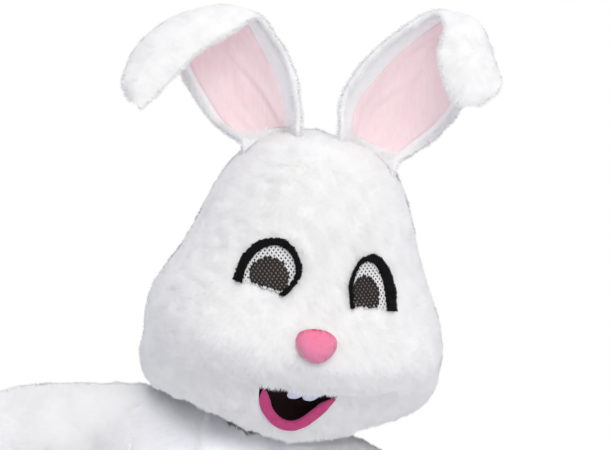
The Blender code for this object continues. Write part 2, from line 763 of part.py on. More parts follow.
def folds(points):
    """The largest soft folds: how far the suit stands out, the same on both sides of a seam."""
    x = points[..., 0]
    y = points[..., 1]
    z = points[..., 2]
    turn = np.arctan2(y, np.abs(x) - 0.12 * ease((-0.6 - z) / 0.1))
    waist = 3.0 * np.sin(z * 62 + 1.6 * np.sin(turn * 2)) * bump(z, -0.44, 0.12)
    knee = 3.0 * np.sin(z * 85 + 1.3 * np.sin(turn)) * bump(z, -0.98, 0.10)
    ankle = 4.0 * np.sin(z * 105 + 0.9 * np.sin(turn + 1)) * bump(z, -1.25, 0.075)
    return (waist + knee + ankle) * MM


def zip_open(level):
    """Half the opening between the back panels at a level."""
    part = ease((level - ZIP_END_LEVEL) / 0.02)
    return 0.2 * MM + (ZIP_HALF_GAP - 0.2 * MM) * part


def build_suit(looks, collection):
    """Four long panels from the shoulder to the ankle, cut round the neck, armholes and crotch."""
    spans = ((0, ARMHOLE_SHARE, 5), (ARMHOLE_SHARE, 0.47, 6), (0.47, 0.58, 5), (0.58, 1, 8))
    shares = np.concatenate([np.linspace(low, high, count + 1)[:-1] for low, high, count in spans] + [[1.0]])
    columns = np.array([0, 0.1, 0.22, 0.34, 0.45, 0.58, 0.72, 0.86, 1.0])
    for side, side_name in ((1, "left"), (-1, "right")):
        for face, face_name in ((-1, "front"), (1, "back")):
            across, share = np.meshgrid(columns, shares)
            outer = suit_point(side, face, across, share)
            normals = suit_normal(side, face, across, share)
            outer = outer + normals * folds(outer)[..., None]
            inner = outer - normals * SUIT_WALL
            for grid in (outer, inner):
                seam_in(grid, outer, side, face)
            points, faces = wall_mesh(outer, inner)
            solid("suit_%s_%s" % (face_name, side_name), points, faces, looks["plush"], collection)


def seam_in(grid, outer, side, face):
    """Moves a panel's edges back from its seams."""
    level = outer[:, 0, 2]
    half = zip_open(level) if face > 0 else np.full(len(level), 0.2 * MM)
    torso = level > CROTCH_LEVEL + 0.002
    past = np.maximum(half - side * np.minimum(side * grid[:, 0, 0], 0), half)
    grid[:, 0, 0] += np.where(torso, side * past, 0)
    grid[:, 0, 1] += np.where(torso & (level > -0.6), 0, face * 0.25 * MM)
    grid[:, -1, 1] += face * 0.25 * MM
    grid[0, 4:, 1] = np.where(face * grid[0, 4:, 1] < 0.25 * MM, face * 0.25 * MM, grid[0, 4:, 1])


def sleeve_rings(side, count, around):
    """Outer rings of a sleeve: the armhole's own shape first, the arm's rings further out."""
    table = LEFT_ARM if side > 0 else RIGHT_ARM
    centres = np.array([row[0:3] for row in table], float) * MM
    length = np.zeros(len(table))
    length[1:] = np.cumsum(np.linalg.norm(np.diff(centres, axis=0), axis=1))
    length /= length[-1]
    at = np.linspace(0, 1, count) ** 1.15
    middle = np.stack([curve_through(length, centres[:, axis], at) for axis in range(3)], axis=-1)
    up_half = curve_through(length, column(table, ARM_COLUMNS, "up_half") * MM, at)
    front_half = curve_through(length, column(table, ARM_COLUMNS, "front_half") * MM, at)
    path = unit(np.gradient(middle, axis=0))
    path[0] = np.array([side, 0, 0])
    sideways = np.array([0.0, 1.0, 0.0])
    up = unit(np.cross(path, sideways)) * side
    turn = np.linspace(0, 2 * math.pi, around + 1)[:-1]
    rings = middle[:, None] + up[:, None] * (up_half[:, None] * np.cos(turn))[..., None]
    rings = rings - sideways * (front_half[:, None] * np.sin(turn))[..., None]
    hole = armhole(side, around)
    fade = ease(1 - at / 0.22)[:, None, None]
    rings = rings + (hole - rings[0]) * fade
    crease = 3.4 * np.sin(at * 44) * bump(at, 0.62, 0.12) + 3.0 * np.sin(at * 70) * bump(at, 0.9, 0.07)
    away = unit(rings - middle[:, None])
    rings = rings + away * (crease[:, None] * (1 + 0.4 * np.cos(turn + 0.8)) * MM)[..., None]
    return rings


def armhole(side, around):
    """The armhole edge of the two panels as one ring, from the shoulder tip forward and round."""
    turn = np.linspace(0, 2 * math.pi, around + 1)[:-1]
    front = turn <= math.pi
    share = np.where(front, turn / math.pi, 2 - turn / math.pi) * ARMHOLE_SHARE
    ahead = suit_point(side, -1, np.ones_like(share), share)
    behind = suit_point(side, 1, np.ones_like(share), share)
    return np.where(front[:, None], ahead, behind)


def build_sleeves(looks, collection):
    """Set-in sleeves: open tubes from the armhole to the cuff."""
    for side, name in ((1, "left"), (-1, "right")):
        rings = sleeve_rings(side, 18, 16)
        around = unit(np.roll(rings, -1, axis=1) - np.roll(rings, 1, axis=1))
        along = unit(np.gradient(rings, axis=0))
        normals = unit(np.cross(along, around))
        middle = rings.mean(axis=1, keepdims=True)
        facing = np.sign(np.sum((rings - middle) * normals, axis=-1, keepdims=True))
        normals = normals * facing
        flat = normals[0].copy()
        flat[:, 0] = 0
        normals[0] = unit(flat)
        rings[..., 0] += side * 0.9 * MM
        wall("sleeve_" + name, rings, normals, SUIT_WALL, looks["plush"], collection, wrap=True)


def zip_line(level):
    """Depth of the suit's centre-back line at heights."""
    shares = np.linspace(0, 0.62, 500)
    line = suit_point(1, 1, np.zeros_like(shares), shares)
    return np.interp(-level, -line[:, 2], line[:, 1])


def strip(levels, half, near, far):
    """A closed strip that follows the centre-back line between two distances behind its outer surface."""
    depth = zip_line(levels)
    slope = np.gradient(depth, levels)
    normal = unit(np.stack([0 * levels, np.ones_like(levels), -slope], axis=-1))
    line = np.stack([0 * levels, depth, levels], axis=-1)
    across = np.array([[half, 0, 0], [-half, 0, 0]])
    outer = (line - normal * near)[:, None] + across
    inner = (line - normal * far)[:, None] + across
    return wall_mesh(outer, inner)


def zip_frame(level):
    """Origin, down and out directions of the zip at a level."""
    at = np.array([level + 0.01, level, level - 0.01])
    depth = zip_line(at)
    down = unit(np.array([0, depth[2] - depth[0], at[2] - at[0]]))
    out = np.array([0, -down[2], down[1]])
    return np.array([0, depth[1], level]), down, out


def placed(points, origin, down, out):
    """Points given as across, out and up along the zip, put at the slider."""
    points = np.asarray(points, float)
    return origin + points[:, 0:1] * np.array([1.0, 0, 0]) + points[:, 1:2] * out - points[:, 2:3] * down


def build_zip(looks, collection):
    """The centre-back zip: tape, chain, slider and the pull tab on it."""
    levels = np.linspace(ZIP_TOP_LEVEL - 0.004, ZIP_END_LEVEL - 0.012, 24)
    points, faces = strip(levels, 14 * MM, SUIT_WALL + 3.6 * MM, SUIT_WALL + 4.6 * MM)
    solid("zip_tape", points, faces, looks["tape"], collection)
    points, faces = strip(levels[1:-1], 3 * MM, SUIT_WALL + 1.6 * MM, SUIT_WALL + 3.3 * MM)
    solid("zip_chain", points, faces, looks["chain"], collection)
    origin, down, out = zip_frame(ZIP_TOP_LEVEL - 0.022)
    base = -(SUIT_WALL + 1.2 * MM)
    slider_bits(origin, down, out, base, looks, collection)


def prism(outline, low, high):
    """A block whose outline is in out and up, and which runs between two places across."""
    count = len(outline)
    points = [(low, out, up) for up, out in outline] + [(high, out, up) for up, out in outline]
    faces = [tuple(range(count)), tuple(range(2 * count - 1, count - 1, -1))]
    faces += [(i, (i + 1) % count, count + (i + 1) % count, count + i) for i in range(count)]
    return np.array(points) * MM, faces


def rectangle(left, right, low, high):
    """The four corners of a rectangle, in mm."""
    return [(left, low), (right, low), (right, high), (left, high)]


def slider_bits(origin, down, out, base, looks, collection):
    """The slider with its bridge, and the pull tab whose bar passes under the bridge."""
    body_low = base / MM
    plate, plate_faces = prism(rectangle(-6, 6, body_low, body_low + 2.4), -4.5, 4.5)
    slider = solid("zip_slider", placed(plate, origin, down, out), plate_faces, looks["metal"], collection)
    rise = body_low + 2.2
    under = [(-5, rise), (-3.6, rise), (-3.6, rise + 3.6), (3.6, rise + 3.6), (3.6, rise), (5, rise)]
    bow, bow_faces = prism(under + [(5, rise + 5.0), (-5, rise + 5.0)], -0.9, 0.9)
    helpers = bpy.data.collections["helpers"]
    other = solid("slider_bridge", placed(bow, origin, down, out), bow_faces, looks["metal"], helpers)
    other.hide_render = True
    other.display_type = "WIRE"
    join = slider.modifiers.new("bridge", "BOOLEAN")
    join.operation = "UNION"
    join.solver = "EXACT"
    join.object = other
    hinge = rise + 1.9
    tab, tab_faces = prism(rectangle(-24, 1.0, hinge - 0.8, hinge + 0.8), -3.4, 3.4)
    pull = solid("zip_pull", placed(tab, origin, down, out), tab_faces, looks["metal"], collection)
    hole, hole_faces = prism(rectangle(-7.4, -1.0, hinge - 3, hinge + 3), -1.7, 1.7)
    cutter = solid("pull_hole", placed(hole, origin, down, out), hole_faces, looks["metal"], helpers)
    cutter.hide_render = True
    cutter.display_type = "WIRE"
    cut = pull.modifiers.new("hole", "BOOLEAN")
    cut.operation = "DIFFERENCE"
    cut.solver = "EXACT"
    cut.object = cutter


def main():
    """Clears the scene and builds every piece."""
    for old in list(bpy.data.objects):
        bpy.data.objects.remove(old, do_unlink=True)
    costume = bpy.data.collections.new("bunny_costume")
    helpers = bpy.data.collections.new("helpers")
    helpers.hide_render = True
    bpy.context.scene.collection.children.link(costume)
    bpy.context.scene.collection.children.link(helpers)
    looks = {
        "plush": material("white_plush", (0.93, 0.93, 0.92), 0.95),
        "satin": material("pink_satin", (0.93, 0.66, 0.70), 0.6),
        "pink": material("pink_felt", (0.90, 0.22, 0.42), 0.85),
        "lip": material("deep_pink_plush", (0.78, 0.13, 0.32), 0.85),
        "black": material("black_plush", (0.012, 0.012, 0.014), 0.95),
        "screen": material("white_mesh", (0.80, 0.81, 0.82), 0.6),
        "dark": material("dark_lining", (0.03, 0.008, 0.008), 0.95),
        "tooth": material("tooth_white", (0.85, 0.87, 0.92), 0.5),
        "tape": material("white_tape", (0.85, 0.85, 0.85), 0.8),
        "chain": material("white_chain", (0.82, 0.82, 0.82), 0.4),
        "metal": material("zinc", (0.62, 0.62, 0.64), 0.35),
    }
    face = build_head(looks, costume)
    build_eyes(face, looks, costume, helpers)
    build_nose(looks, costume)
    build_mouth(looks, costume)
    build_ears(looks, costume)
    build_suit(looks, costume)
    build_sleeves(looks, costume)
    build_zip(looks, costume)


main()
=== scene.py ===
"""Dresses the hollow bunny costume: plush head with folded ears, and the one-piece plush suit.

Every piece is a surface worked out with numpy on a grid, set into a mesh, and finished with a procedural
material. Sizes are metres in the model's own frame, +Z up, the front to -Y, the wearer's left to +X.
"""

import json
import logging
import math
from dataclasses import dataclass, field
from enum import Enum
from typing import Callable, Dict, List, Optional, Sequence, Tuple

import bpy
import numpy as np
from numpy.typing import NDArray
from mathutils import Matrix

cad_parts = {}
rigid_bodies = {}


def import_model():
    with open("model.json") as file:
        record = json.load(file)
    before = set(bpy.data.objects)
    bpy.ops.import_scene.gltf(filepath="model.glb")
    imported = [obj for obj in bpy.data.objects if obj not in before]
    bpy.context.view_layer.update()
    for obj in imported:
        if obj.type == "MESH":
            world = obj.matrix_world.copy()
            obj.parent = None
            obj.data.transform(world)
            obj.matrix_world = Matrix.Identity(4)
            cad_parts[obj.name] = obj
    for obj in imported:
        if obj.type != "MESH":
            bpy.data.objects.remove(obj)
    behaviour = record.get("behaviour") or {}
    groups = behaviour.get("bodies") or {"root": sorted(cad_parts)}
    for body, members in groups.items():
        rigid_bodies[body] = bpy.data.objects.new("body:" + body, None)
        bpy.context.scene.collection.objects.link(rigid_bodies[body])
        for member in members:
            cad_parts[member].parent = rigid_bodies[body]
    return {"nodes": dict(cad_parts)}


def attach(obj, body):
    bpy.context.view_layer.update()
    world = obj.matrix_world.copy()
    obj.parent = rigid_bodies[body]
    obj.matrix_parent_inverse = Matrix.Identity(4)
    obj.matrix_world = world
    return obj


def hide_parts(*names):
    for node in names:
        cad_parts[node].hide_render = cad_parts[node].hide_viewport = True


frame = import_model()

Floats = NDArray[np.float64]
Whole = NDArray[np.int64]
Mask = NDArray[np.bool_]
Span = Tuple[float, float]
Colour = Tuple[float, float, float]
Place = Tuple[float, float, float]
Comb = Callable[[Floats, Floats], Floats]
Shell = Tuple[Floats, Whole]

log = logging.getLogger("bunny_costume")
MM = 0.001
FULL_TURN = 2 * math.pi
BODY = "costume"
UP = np.array([0.0, 0.0, 1.0])
LEFT_WAY = np.array([1.0, 0.0, 0.0])
BACK_WAY = np.array([0.0, 1.0, 0.0])


class Side(Enum):
    """The wearer's side, with its sign along X."""

    RIGHT = -1
    LEFT = 1

    @property
    def word(self) -> str:
        """The side in lower case, as the nodes' names have it."""
        return self.name.lower()


class Face(Enum):
    """Front or back of the suit, with its sign along Y."""

    FRONT = -1
    BACK = 1

    @property
    def word(self) -> str:
        """The face in lower case, as the nodes' names have it."""
        return self.name.lower()


def unit(vectors: Floats) -> Floats:
    """The same directions with length one."""
    return vectors / np.maximum(np.linalg.norm(vectors, axis=-1, keepdims=True), 1e-12)


def ease(value: Floats) -> Floats:
    """A smooth step: 3t^2 - 2t^3 of the value kept within nought and one."""
    value = np.clip(value, 0, 1)
    return value * value * (3 - 2 * value)


def bump(value: Floats, middle: float, width: float) -> Floats:
    """A bell curve of height one: exp of minus the squared distance in widths."""
    return np.exp(-(((value - middle) / width) ** 2))


def through(places: Floats, values: Floats, at: Floats) -> Floats:
    """A smooth curve through named sizes: a cubic Hermite between places, slopes by central difference.

    Args:
        places: rising places of the values.
        values: a value at each place.
        at: places to read the curve at.

    Returns:
        The curve's values there.
    """
    at = np.clip(np.asarray(at, float), places[0], places[-1])
    slopes = np.gradient(values, places)
    index = np.clip(np.searchsorted(places, at, side="right") - 1, 0, len(places) - 2)
    step = places[index + 1] - places[index]
    part = (at - places[index]) / step
    cube = part**3
    square = part**2
    return (
        values[index] * (2 * cube - 3 * square + 1)
        + slopes[index] * step * (cube - 2 * square + part)
        + values[index + 1] * (3 * square - 2 * cube)
        + slopes[index + 1] * step * (cube - square)
    )


def curve(places: Floats, points: Floats, at: Floats) -> Floats:
    """A smooth curve through points of three coordinates, each read by `through`."""
    return np.stack([through(places, points[:, axis], at) for axis in range(3)], axis=-1)


def share_along(points: Floats) -> Floats:
    """How far along a broken line each of its corners is, from nought to one."""
    length = np.concatenate([[0.0], np.cumsum(np.linalg.norm(np.diff(points, axis=0), axis=1))])
    return length / length[-1]


def full_turn(count: int) -> Floats:
    """Evenly spaced angles of a whole turn, the last one short of the first."""
    return np.linspace(0, FULL_TURN, count + 1)[:-1]


def facets(points: Floats, tris: Whole) -> Floats:
    """The cross product of two sides of each triangle: its direction, as long as twice its area."""
    corner = points[tris]
    return np.cross(corner[:, 1] - corner[:, 0], corner[:, 2] - corner[:, 0])


def whole_cells(points: Mask) -> Mask:
    """Which cells of a grid have all four corners among the marked points."""
    return points[:-1, :-1] & points[1:, :-1] & points[1:, 1:] & points[:-1, 1:]


def corners_of(cells: Mask) -> Mask:
    """Which points of a grid are a corner of a marked cell."""
    marked = np.zeros((cells.shape[0] + 1, cells.shape[1] + 1), bool)
    for rows in (slice(0, -1), slice(1, None)):
        for cols in (slice(0, -1), slice(1, None)):
            marked[rows, cols] |= cells
    return marked


def graded(low: float, high: float, count: int, dense: Sequence[Tuple[float, float, float]]) -> Floats:
    """Places between two ends, closer together near each dense place.

    The density is one plus a bell curve for each dense place, and the places cut its integral evenly.

    Args:
        low: first place.
        high: last place.
        count: how many places.
        dense: middle, width and extra density of each dense stretch.

    Returns:
        The rising places.
    """
    fine = np.linspace(low, high, 2001)
    density = np.ones_like(fine)
    for middle, width, more in dense:
        density = density + more * bump(fine, middle, width)
    total = np.concatenate([[0.0], np.cumsum((density[1:] + density[:-1]) / 2)])
    return np.interp(np.linspace(0, total[-1], count), total, fine)


def waves(points: Floats, size: float, seed: int, count: int = 14) -> Floats:
    """A smooth uneven field near -1 to 1: the mean of sine waves of one length in seeded directions.

    Args:
        points: places, last axis of three.
        size: the waves' length in metres.
        seed: seed of the directions and starts.
        count: how many waves.

    Returns:
        The field at each place.
    """
    rng = np.random.default_rng(seed)
    ways = unit(rng.normal(size=(count, 3))) * rng.uniform(0.75, 1.35, (count, 1)) * 2 * math.pi / size
    starts = rng.uniform(0, 2 * math.pi, count)
    total = np.zeros(points.shape[:-1])
    for way, start in zip(ways, starts):
        total = total + np.sin(points @ way + start)
    return total * math.sqrt(2.0 / count) * 0.7


def near_line(points: Floats, line: Sequence[Tuple[float, float]], width: float) -> Floats:
    """How near flat points lie to a broken line: one on it, falling off as a bell curve.

    Args:
        points: places with two coordinates.
        line: the line's corners.
        width: width of the bell curve.

    Returns:
        A value from nought to one at each place.
    """
    best = np.full(points.shape[:-1], 1e9)
    corners = np.array(line, float)
    for start, end in zip(corners[:-1], corners[1:]):
        way = end - start
        part = np.clip(((points - start) @ way) / (way @ way), 0, 1)
        spot = start + part[..., None] * way
        best = np.minimum(best, np.linalg.norm(points - spot, axis=-1))
    return np.exp(-((best / width) ** 2))


def brushed(way: Floats, normal: Floats) -> Floats:
    """Turns a comb's direction back over the form's outline, as seen from the front and from behind.

    Args:
        way: the combed directions.
        normal: outward directions of the cloth.

    Returns:
        The directions, which near the outline run over it to the other side.
    """
    edge = ease((0.95 - np.abs(normal[..., 1:2])) / 0.35)
    over = np.array([0.0, 0.9, 0.0]) * np.tanh(-normal[..., 1:2] / 0.05)
    return way * (1 - 0.75 * edge) + over * edge


def inside_loop(points: Floats, loop: Floats) -> Mask:
    """Which flat points lie inside a closed loop: an odd number of its sides is crossed going right.

    Args:
        points: places with two coordinates.
        loop: the loop's corners.

    Returns:
        True for each place inside.
    """
    x = points[..., 0]
    y = points[..., 1]
    odd = np.zeros(x.shape, bool)
    after = np.roll(loop, -1, axis=0)
    for (ax, ay), (bx, by) in zip(loop, after):
        if ay == by:
            continue
        crosses = (ay > y) != (by > y)
        odd ^= crosses & (x < (bx - ax) * (y - ay) / (by - ay) + ax)
    return odd


@dataclass
class Cloth:
    """One side of a piece of cloth: points, outward directions and triangles, rows by columns.

    Attributes:
        points: places of the vertices.
        normals: outward directions there.
        tris: triangles, outward.
    """

    points: Floats
    normals: Floats
    tris: Whole

    @staticmethod
    def from_grid(
        grid: Floats,
        normals: Floats,
        wrap: bool = False,
        pole: bool = False,
        keep: Optional[Mask] = None,
    ) -> "Cloth":
        """Cuts each cell of a grid into two triangles, which face along the normals.

        Args:
            grid: rows by columns of points.
            normals: outward directions, same shape.
            wrap: joins the last column to the first.
            pole: the first row is one point.
            keep: which cells are kept.

        Returns:
            The cloth.
        """
        rows, columns = grid.shape[:2]
        index = np.arange(rows * columns).reshape(rows, columns)
        if pole:
            index[0, :] = 0
        if wrap:
            index = np.concatenate([index, index[:, :1]], axis=1)
        a, b = index[:-1, :-1], index[1:, :-1]
        c, d = index[1:, 1:], index[:-1, 1:]
        cells = np.stack([np.stack([a, b, c], -1), np.stack([a, c, d], -1)], axis=2)
        if keep is not None:
            cells = cells[keep]
        tris = cells.reshape(-1, 3)
        whole = (tris[:, 0] != tris[:, 1]) & (tris[:, 1] != tris[:, 2]) & (tris[:, 0] != tris[:, 2])
        return Cloth(grid.reshape(-1, 3), normals.reshape(-1, 3), tris[whole]).faced()

    def faced(self) -> "Cloth":
        """The same cloth with its triangles turned to face along the normals."""
        if np.sum(facets(self.points, self.tris) * self.normals[self.tris[:, 0]]) < 0:
            self.tris = self.tris[:, ::-1]
        return self

    def area(self) -> float:
        """Area of the cloth in square metres."""
        return float(np.linalg.norm(facets(self.points, self.tris), axis=1).sum() / 2)

    def edges(self) -> Whole:
        """The open edges, each as two vertices in the order in which its triangle has them."""
        ends = np.concatenate([self.tris[:, [0, 1]], self.tris[:, [1, 2]], self.tris[:, [2, 0]]])
        many = len(self.points)
        code = ends[:, 0] * many + ends[:, 1]
        back = ends[:, 1] * many + ends[:, 0]
        return ends[~np.isin(code, back)]

    def thickened(self, wall: Floats) -> Shell:
        """A closed shell whose inner side is the cloth moved in by the wall.

        Args:
            wall: thickness, one number or one for each vertex.

        Returns:
            Points and triangles.
        """
        thick = np.broadcast_to(np.asarray(wall, float), (len(self.points),))
        return self.backed(self.points - self.normals * thick[:, None])

    def backed(self, inner: Floats) -> Shell:
        """A closed shell: the cloth, an inner side, and a rim along the open edges.

        Args:
            inner: the inner side's point for each vertex of the cloth.

        Returns:
            Points and triangles, without the points that no triangle has.
        """
        many = len(self.points)
        ends = self.edges()
        a, b = ends[:, 0], ends[:, 1]
        rim = np.concatenate([np.stack([b, a, a + many], -1), np.stack([b, a + many, b + many], -1)])
        tris = np.concatenate([self.tris, self.tris[:, ::-1] + many, rim])
        points = np.concatenate([self.points, inner])
        used = np.unique(tris)
        fresh = np.zeros(2 * many, int)
        fresh[used] = np.arange(len(used))
        return points[used], fresh[tris]


def mesh_piece(
    name: str,
    points: Floats,
    tris: Whole,
    look: bpy.types.Material,
    normals: Optional[Floats] = None,
    marks: Optional[Dict[str, Floats]] = None,
    smooth: bool = True,
) -> bpy.types.Object:
    """Puts points and triangles into a named mesh object at the origin.

    Args:
        name: the piece's name.
        points: vertices.
        tris: triangles, outward.
        look: its material.
        normals: shading directions of the vertices, if not the mesh's own.
        marks: named values kept on the vertices for the material.
        smooth: whether it is shaded smooth.

    Returns:
        The linked object.
    """
    mesh = bpy.data.meshes.new(name)
    mesh.vertices.add(len(points))
    mesh.vertices.foreach_set("co", np.ascontiguousarray(points, np.float32).ravel())
    mesh.loops.add(tris.size)
    mesh.polygons.add(len(tris))
    mesh.polygons.foreach_set("loop_start", np.arange(0, tris.size, 3, dtype=np.int32))
    mesh.polygons.foreach_set("vertices", np.ascontiguousarray(tris, np.int32).ravel())
    mesh.update(calc_edges=True)
    if smooth:
        mesh.shade_smooth()
    for mark, values in (marks or {}).items():
        layer = mesh.attributes.new(mark, "FLOAT", "POINT")
        layer.data.foreach_set("value", np.ascontiguousarray(values, np.float32).ravel())
    if normals is not None:
        mesh.normals_split_custom_set_from_vertices(np.ascontiguousarray(normals, np.float32))
    mesh.materials.append(look)
    made = bpy.data.objects.new(name, mesh)
    bpy.context.scene.collection.objects.link(made)
    return made


@dataclass
class Workshop:
    """Hands out the finishes and keeps the log of the pieces.

    Attributes:
        looks: finished materials by name.
        triangles: triangles of all new pieces so far.
    """

    looks: Dict[str, bpy.types.Material] = field(default_factory=dict)
    triangles: int = 0

    def piece(self, name: str, points: Floats, tris: Whole, look: str, **more: object) -> bpy.types.Object:
        """Makes a mesh piece, sets it on the costume's body and reports it."""
        made = mesh_piece(name, points, tris, self.looks[look], **more)
        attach(made, BODY)
        self.triangles += len(tris)
        log.info("%s: %d triangles, %s", name, len(tris), look)
        return made


def report_cut(made: bpy.types.Object, sides: Span, area: float) -> None:
    """Logs the rectangle that a sheet is cut from and its own flat area."""
    log.info("%s: cut from %.3f x %.3f m, %.5f m2", made.name, sides[0], sides[1], area)


def flat_cut(width: float, length: float, area: float) -> Tuple[Span, float]:
    """The rectangle that a piece is cut from, in whole centimetres, and its own flat area.

    Args:
        width: widest place in metres.
        length: longest place in metres.
        area: surface of the cloth in square metres.

    Returns:
        The rectangle's sides, and the area kept within it.
    """
    sides = (math.ceil(width * 100) / 100, math.ceil(length * 100) / 100)
    most = sides[0] * sides[1]
    return sides, round(float(np.clip(area, 0.31 * most, most)), 4)


def cut_of(grid: Floats, wrap: bool = False) -> Span:
    """The longest run across and the longest run down a grid of points, in metres.

    Args:
        grid: rows by columns of points.
        wrap: whether the last column joins the first.

    Returns:
        The two lengths.
    """
    if wrap:
        grid = np.concatenate([grid, grid[:, :1]], axis=1)
    across = np.linalg.norm(np.diff(grid, axis=1), axis=-1).sum(axis=1).max()
    down = np.linalg.norm(np.diff(grid, axis=0), axis=-1).sum(axis=0).max()
    return float(across), float(down)


@dataclass(frozen=True)
class Pile:
    """The pile of a plush: thin blades rooted on the cloth, one triangle each.

    Attributes:
        count: how many blades.
        length: length of a blade.
        width: width of a blade at its root.
        lift: how upright it stands, from nought to one.
        seed: seed of the places and leans.
        ruffle: how much neighbouring tufts lean apart.
        fold: length of the ruffles.
        shade: how far its shading follows the blade instead of the cloth.
        tuft: how far its shading follows the tufts.
    """

    count: int
    length: float
    width: float
    lift: float = 0.42
    seed: int = 1
    ruffle: float = 0.16
    fold: float = 0.026
    shade: float = 0.10
    tuft: float = 0.08

    def grow(
        self,
        shop: Workshop,
        name: str,
        look: str,
        cloth: Cloth,
        comb: Comb,
        keep: Optional[Callable[[Floats], Mask]] = None,
        wanted: Optional[Callable[[Floats], Floats]] = None,
    ) -> bpy.types.Object:
        """Sows the blades over the cloth and combs them.

        A root is a seeded place in a triangle picked by its area. The blade's direction is the lift
        along the cloth's normal plus the comb's direction along the cloth, ruffled by smooth waves, so
        that near blades lean together in tufts.

        Args:
            shop: the workshop.
            name: name of the piece.
            look: name of its finish.
            cloth: the cloth that it grows on.
            comb: gives the combed direction at places with normals.
            keep: tells which roots stay.
            wanted: gives how much more or less of the pile a place gets.

        Returns:
            The joined blades.
        """
        count = self.count
        rng = np.random.default_rng(self.seed)
        corner = cloth.points[cloth.tris]
        weight = np.linalg.norm(facets(cloth.points, cloth.tris), axis=1)
        if wanted is not None:
            weight = weight * wanted(corner.mean(axis=1))
        pick = np.searchsorted(np.cumsum(weight) / weight.sum(), rng.random(count))
        pick = np.minimum(pick, len(cloth.tris) - 1)
        first = np.sqrt(rng.random(count))
        second = rng.random(count)
        share = np.stack([1 - first, first * (1 - second), first * second], axis=-1)
        root = np.sum(corner[pick] * share[..., None], axis=1)
        normal = unit(np.sum(cloth.normals[cloth.tris[pick]] * share[..., None], axis=1))
        if keep is not None:
            stay = keep(root)
            root = root[stay]
            normal = normal[stay]
        many = len(root)
        way = comb(root, normal)
        ruffle = np.stack([waves(root, self.fold, self.seed + i) for i in range(3)], axis=-1)
        small = np.stack([waves(root, self.fold * 0.37, self.seed + 5 + i) for i in range(3)], axis=-1)
        way = way + (ruffle + 0.7 * small) * self.ruffle
        way = way - normal * np.sum(way * normal, axis=-1, keepdims=True)
        way = unit(way) * np.clip(np.linalg.norm(way, axis=-1, keepdims=True), 0.75, 1.2)
        lean = math.sqrt(1 - self.lift**2)
        stand = unit(normal * self.lift + way * lean + rng.normal(size=(many, 3)) * 0.06)
        broad = unit(np.cross(stand, normal + rng.normal(size=(many, 3)) * 0.10))
        length = self.length * rng.uniform(0.72, 1.12, many) * (1 + 0.14 * waves(root, 0.03, self.seed + 9))
        half = broad * self.width * rng.uniform(0.35, 0.62, (many, 1))
        tip = root + stand * length[:, None]
        points = np.stack([root - half, root + half, tip], axis=1).reshape(-1, 3)
        tufted = (ruffle + 0.7 * small) * self.tuft
        shine = unit(normal + stand * self.shade + tufted + rng.normal(size=(many, 3)) * 0.05)
        flat = np.cross(2 * half, tip - root + half)
        turned = np.sum(flat * shine, axis=-1) < 0
        tris = np.arange(3 * many).reshape(-1, 3)
        tris[turned] = tris[turned][:, ::-1]
        marks = {"tip": np.tile([0.0, 0.0, 1.0], many)}
        made = shop.piece(name, points, tris, look, normals=np.repeat(shine, 3, axis=0), marks=marks)
        made.visible_shadow = False
        return made


Link = bpy.types.NodeSocket


@dataclass
class Nodes:
    """Adds and links the nodes of one tree.

    Attributes:
        tree: the material's or group's node tree.
    """

    tree: bpy.types.NodeTree

    def add(
        self, kind: str, inputs: Optional[Dict[object, object]] = None, **settings: object
    ) -> bpy.types.Node:
        """Adds a node.

        Args:
            kind: the node's type.
            inputs: a value or another node's output for each of its inputs, by name or number.
            settings: its properties.

        Returns:
            The node.
        """
        node = self.tree.nodes.new(kind)
        for name, value in settings.items():
            setattr(node, name, value)
        for socket, value in (inputs or {}).items():
            if isinstance(value, bpy.types.NodeSocket):
                self.tree.links.new(value, node.inputs[socket])
            else:
                node.inputs[socket].default_value = value
        return node

    def math(self, operation: str, *values: object) -> Link:
        """The output of a Math node."""
        return self.add("ShaderNodeMath", dict(enumerate(values)), operation=operation).outputs[0]

    def mix(self, part: object, first: object, second: object) -> Link:
        """A colour between two colours."""
        node = self.add("ShaderNodeMix", {0: part, 6: first, 7: second}, data_type="RGBA")
        return node.outputs[2]

    def noise(self, place: Link, scale: object, detail: float = 2.0) -> Link:
        """A smooth uneven value from nought to one."""
        return self.add("ShaderNodeTexNoise", {"Vector": place, "Scale": scale, "Detail": detail}).outputs[0]

    def object_place(self) -> Link:
        """The place on the object, in metres."""
        return self.add("ShaderNodeTexCoord").outputs["Object"]

    def bump(self, shader: bpy.types.Node, strength: float, distance: float, height: Link) -> None:
        """Feeds a height to a shader's normal."""
        values = {"Strength": strength, "Distance": distance, "Height": height}
        node = self.add("ShaderNodeBump", values)
        self.tree.links.new(node.outputs[0], shader.inputs["Normal"])


def group_tree(name: str, inputs: Dict[str, Tuple[str, float]], outputs: Dict[str, str]) -> Nodes:
    """A new shader node group with named sockets.

    Args:
        name: the group's name.
        inputs: socket type and value of each input.
        outputs: socket type of each output.

    Returns:
        Its nodes.
    """
    tree = bpy.data.node_groups.new(name, "ShaderNodeTree")
    for word, (kind, value) in inputs.items():
        socket = tree.interface.new_socket(word, in_out="INPUT", socket_type=kind)
        if kind == "NodeSocketFloat":
            socket.default_value = value
    for word, kind in outputs.items():
        tree.interface.new_socket(word, in_out="OUTPUT", socket_type=kind)
    return Nodes(tree)


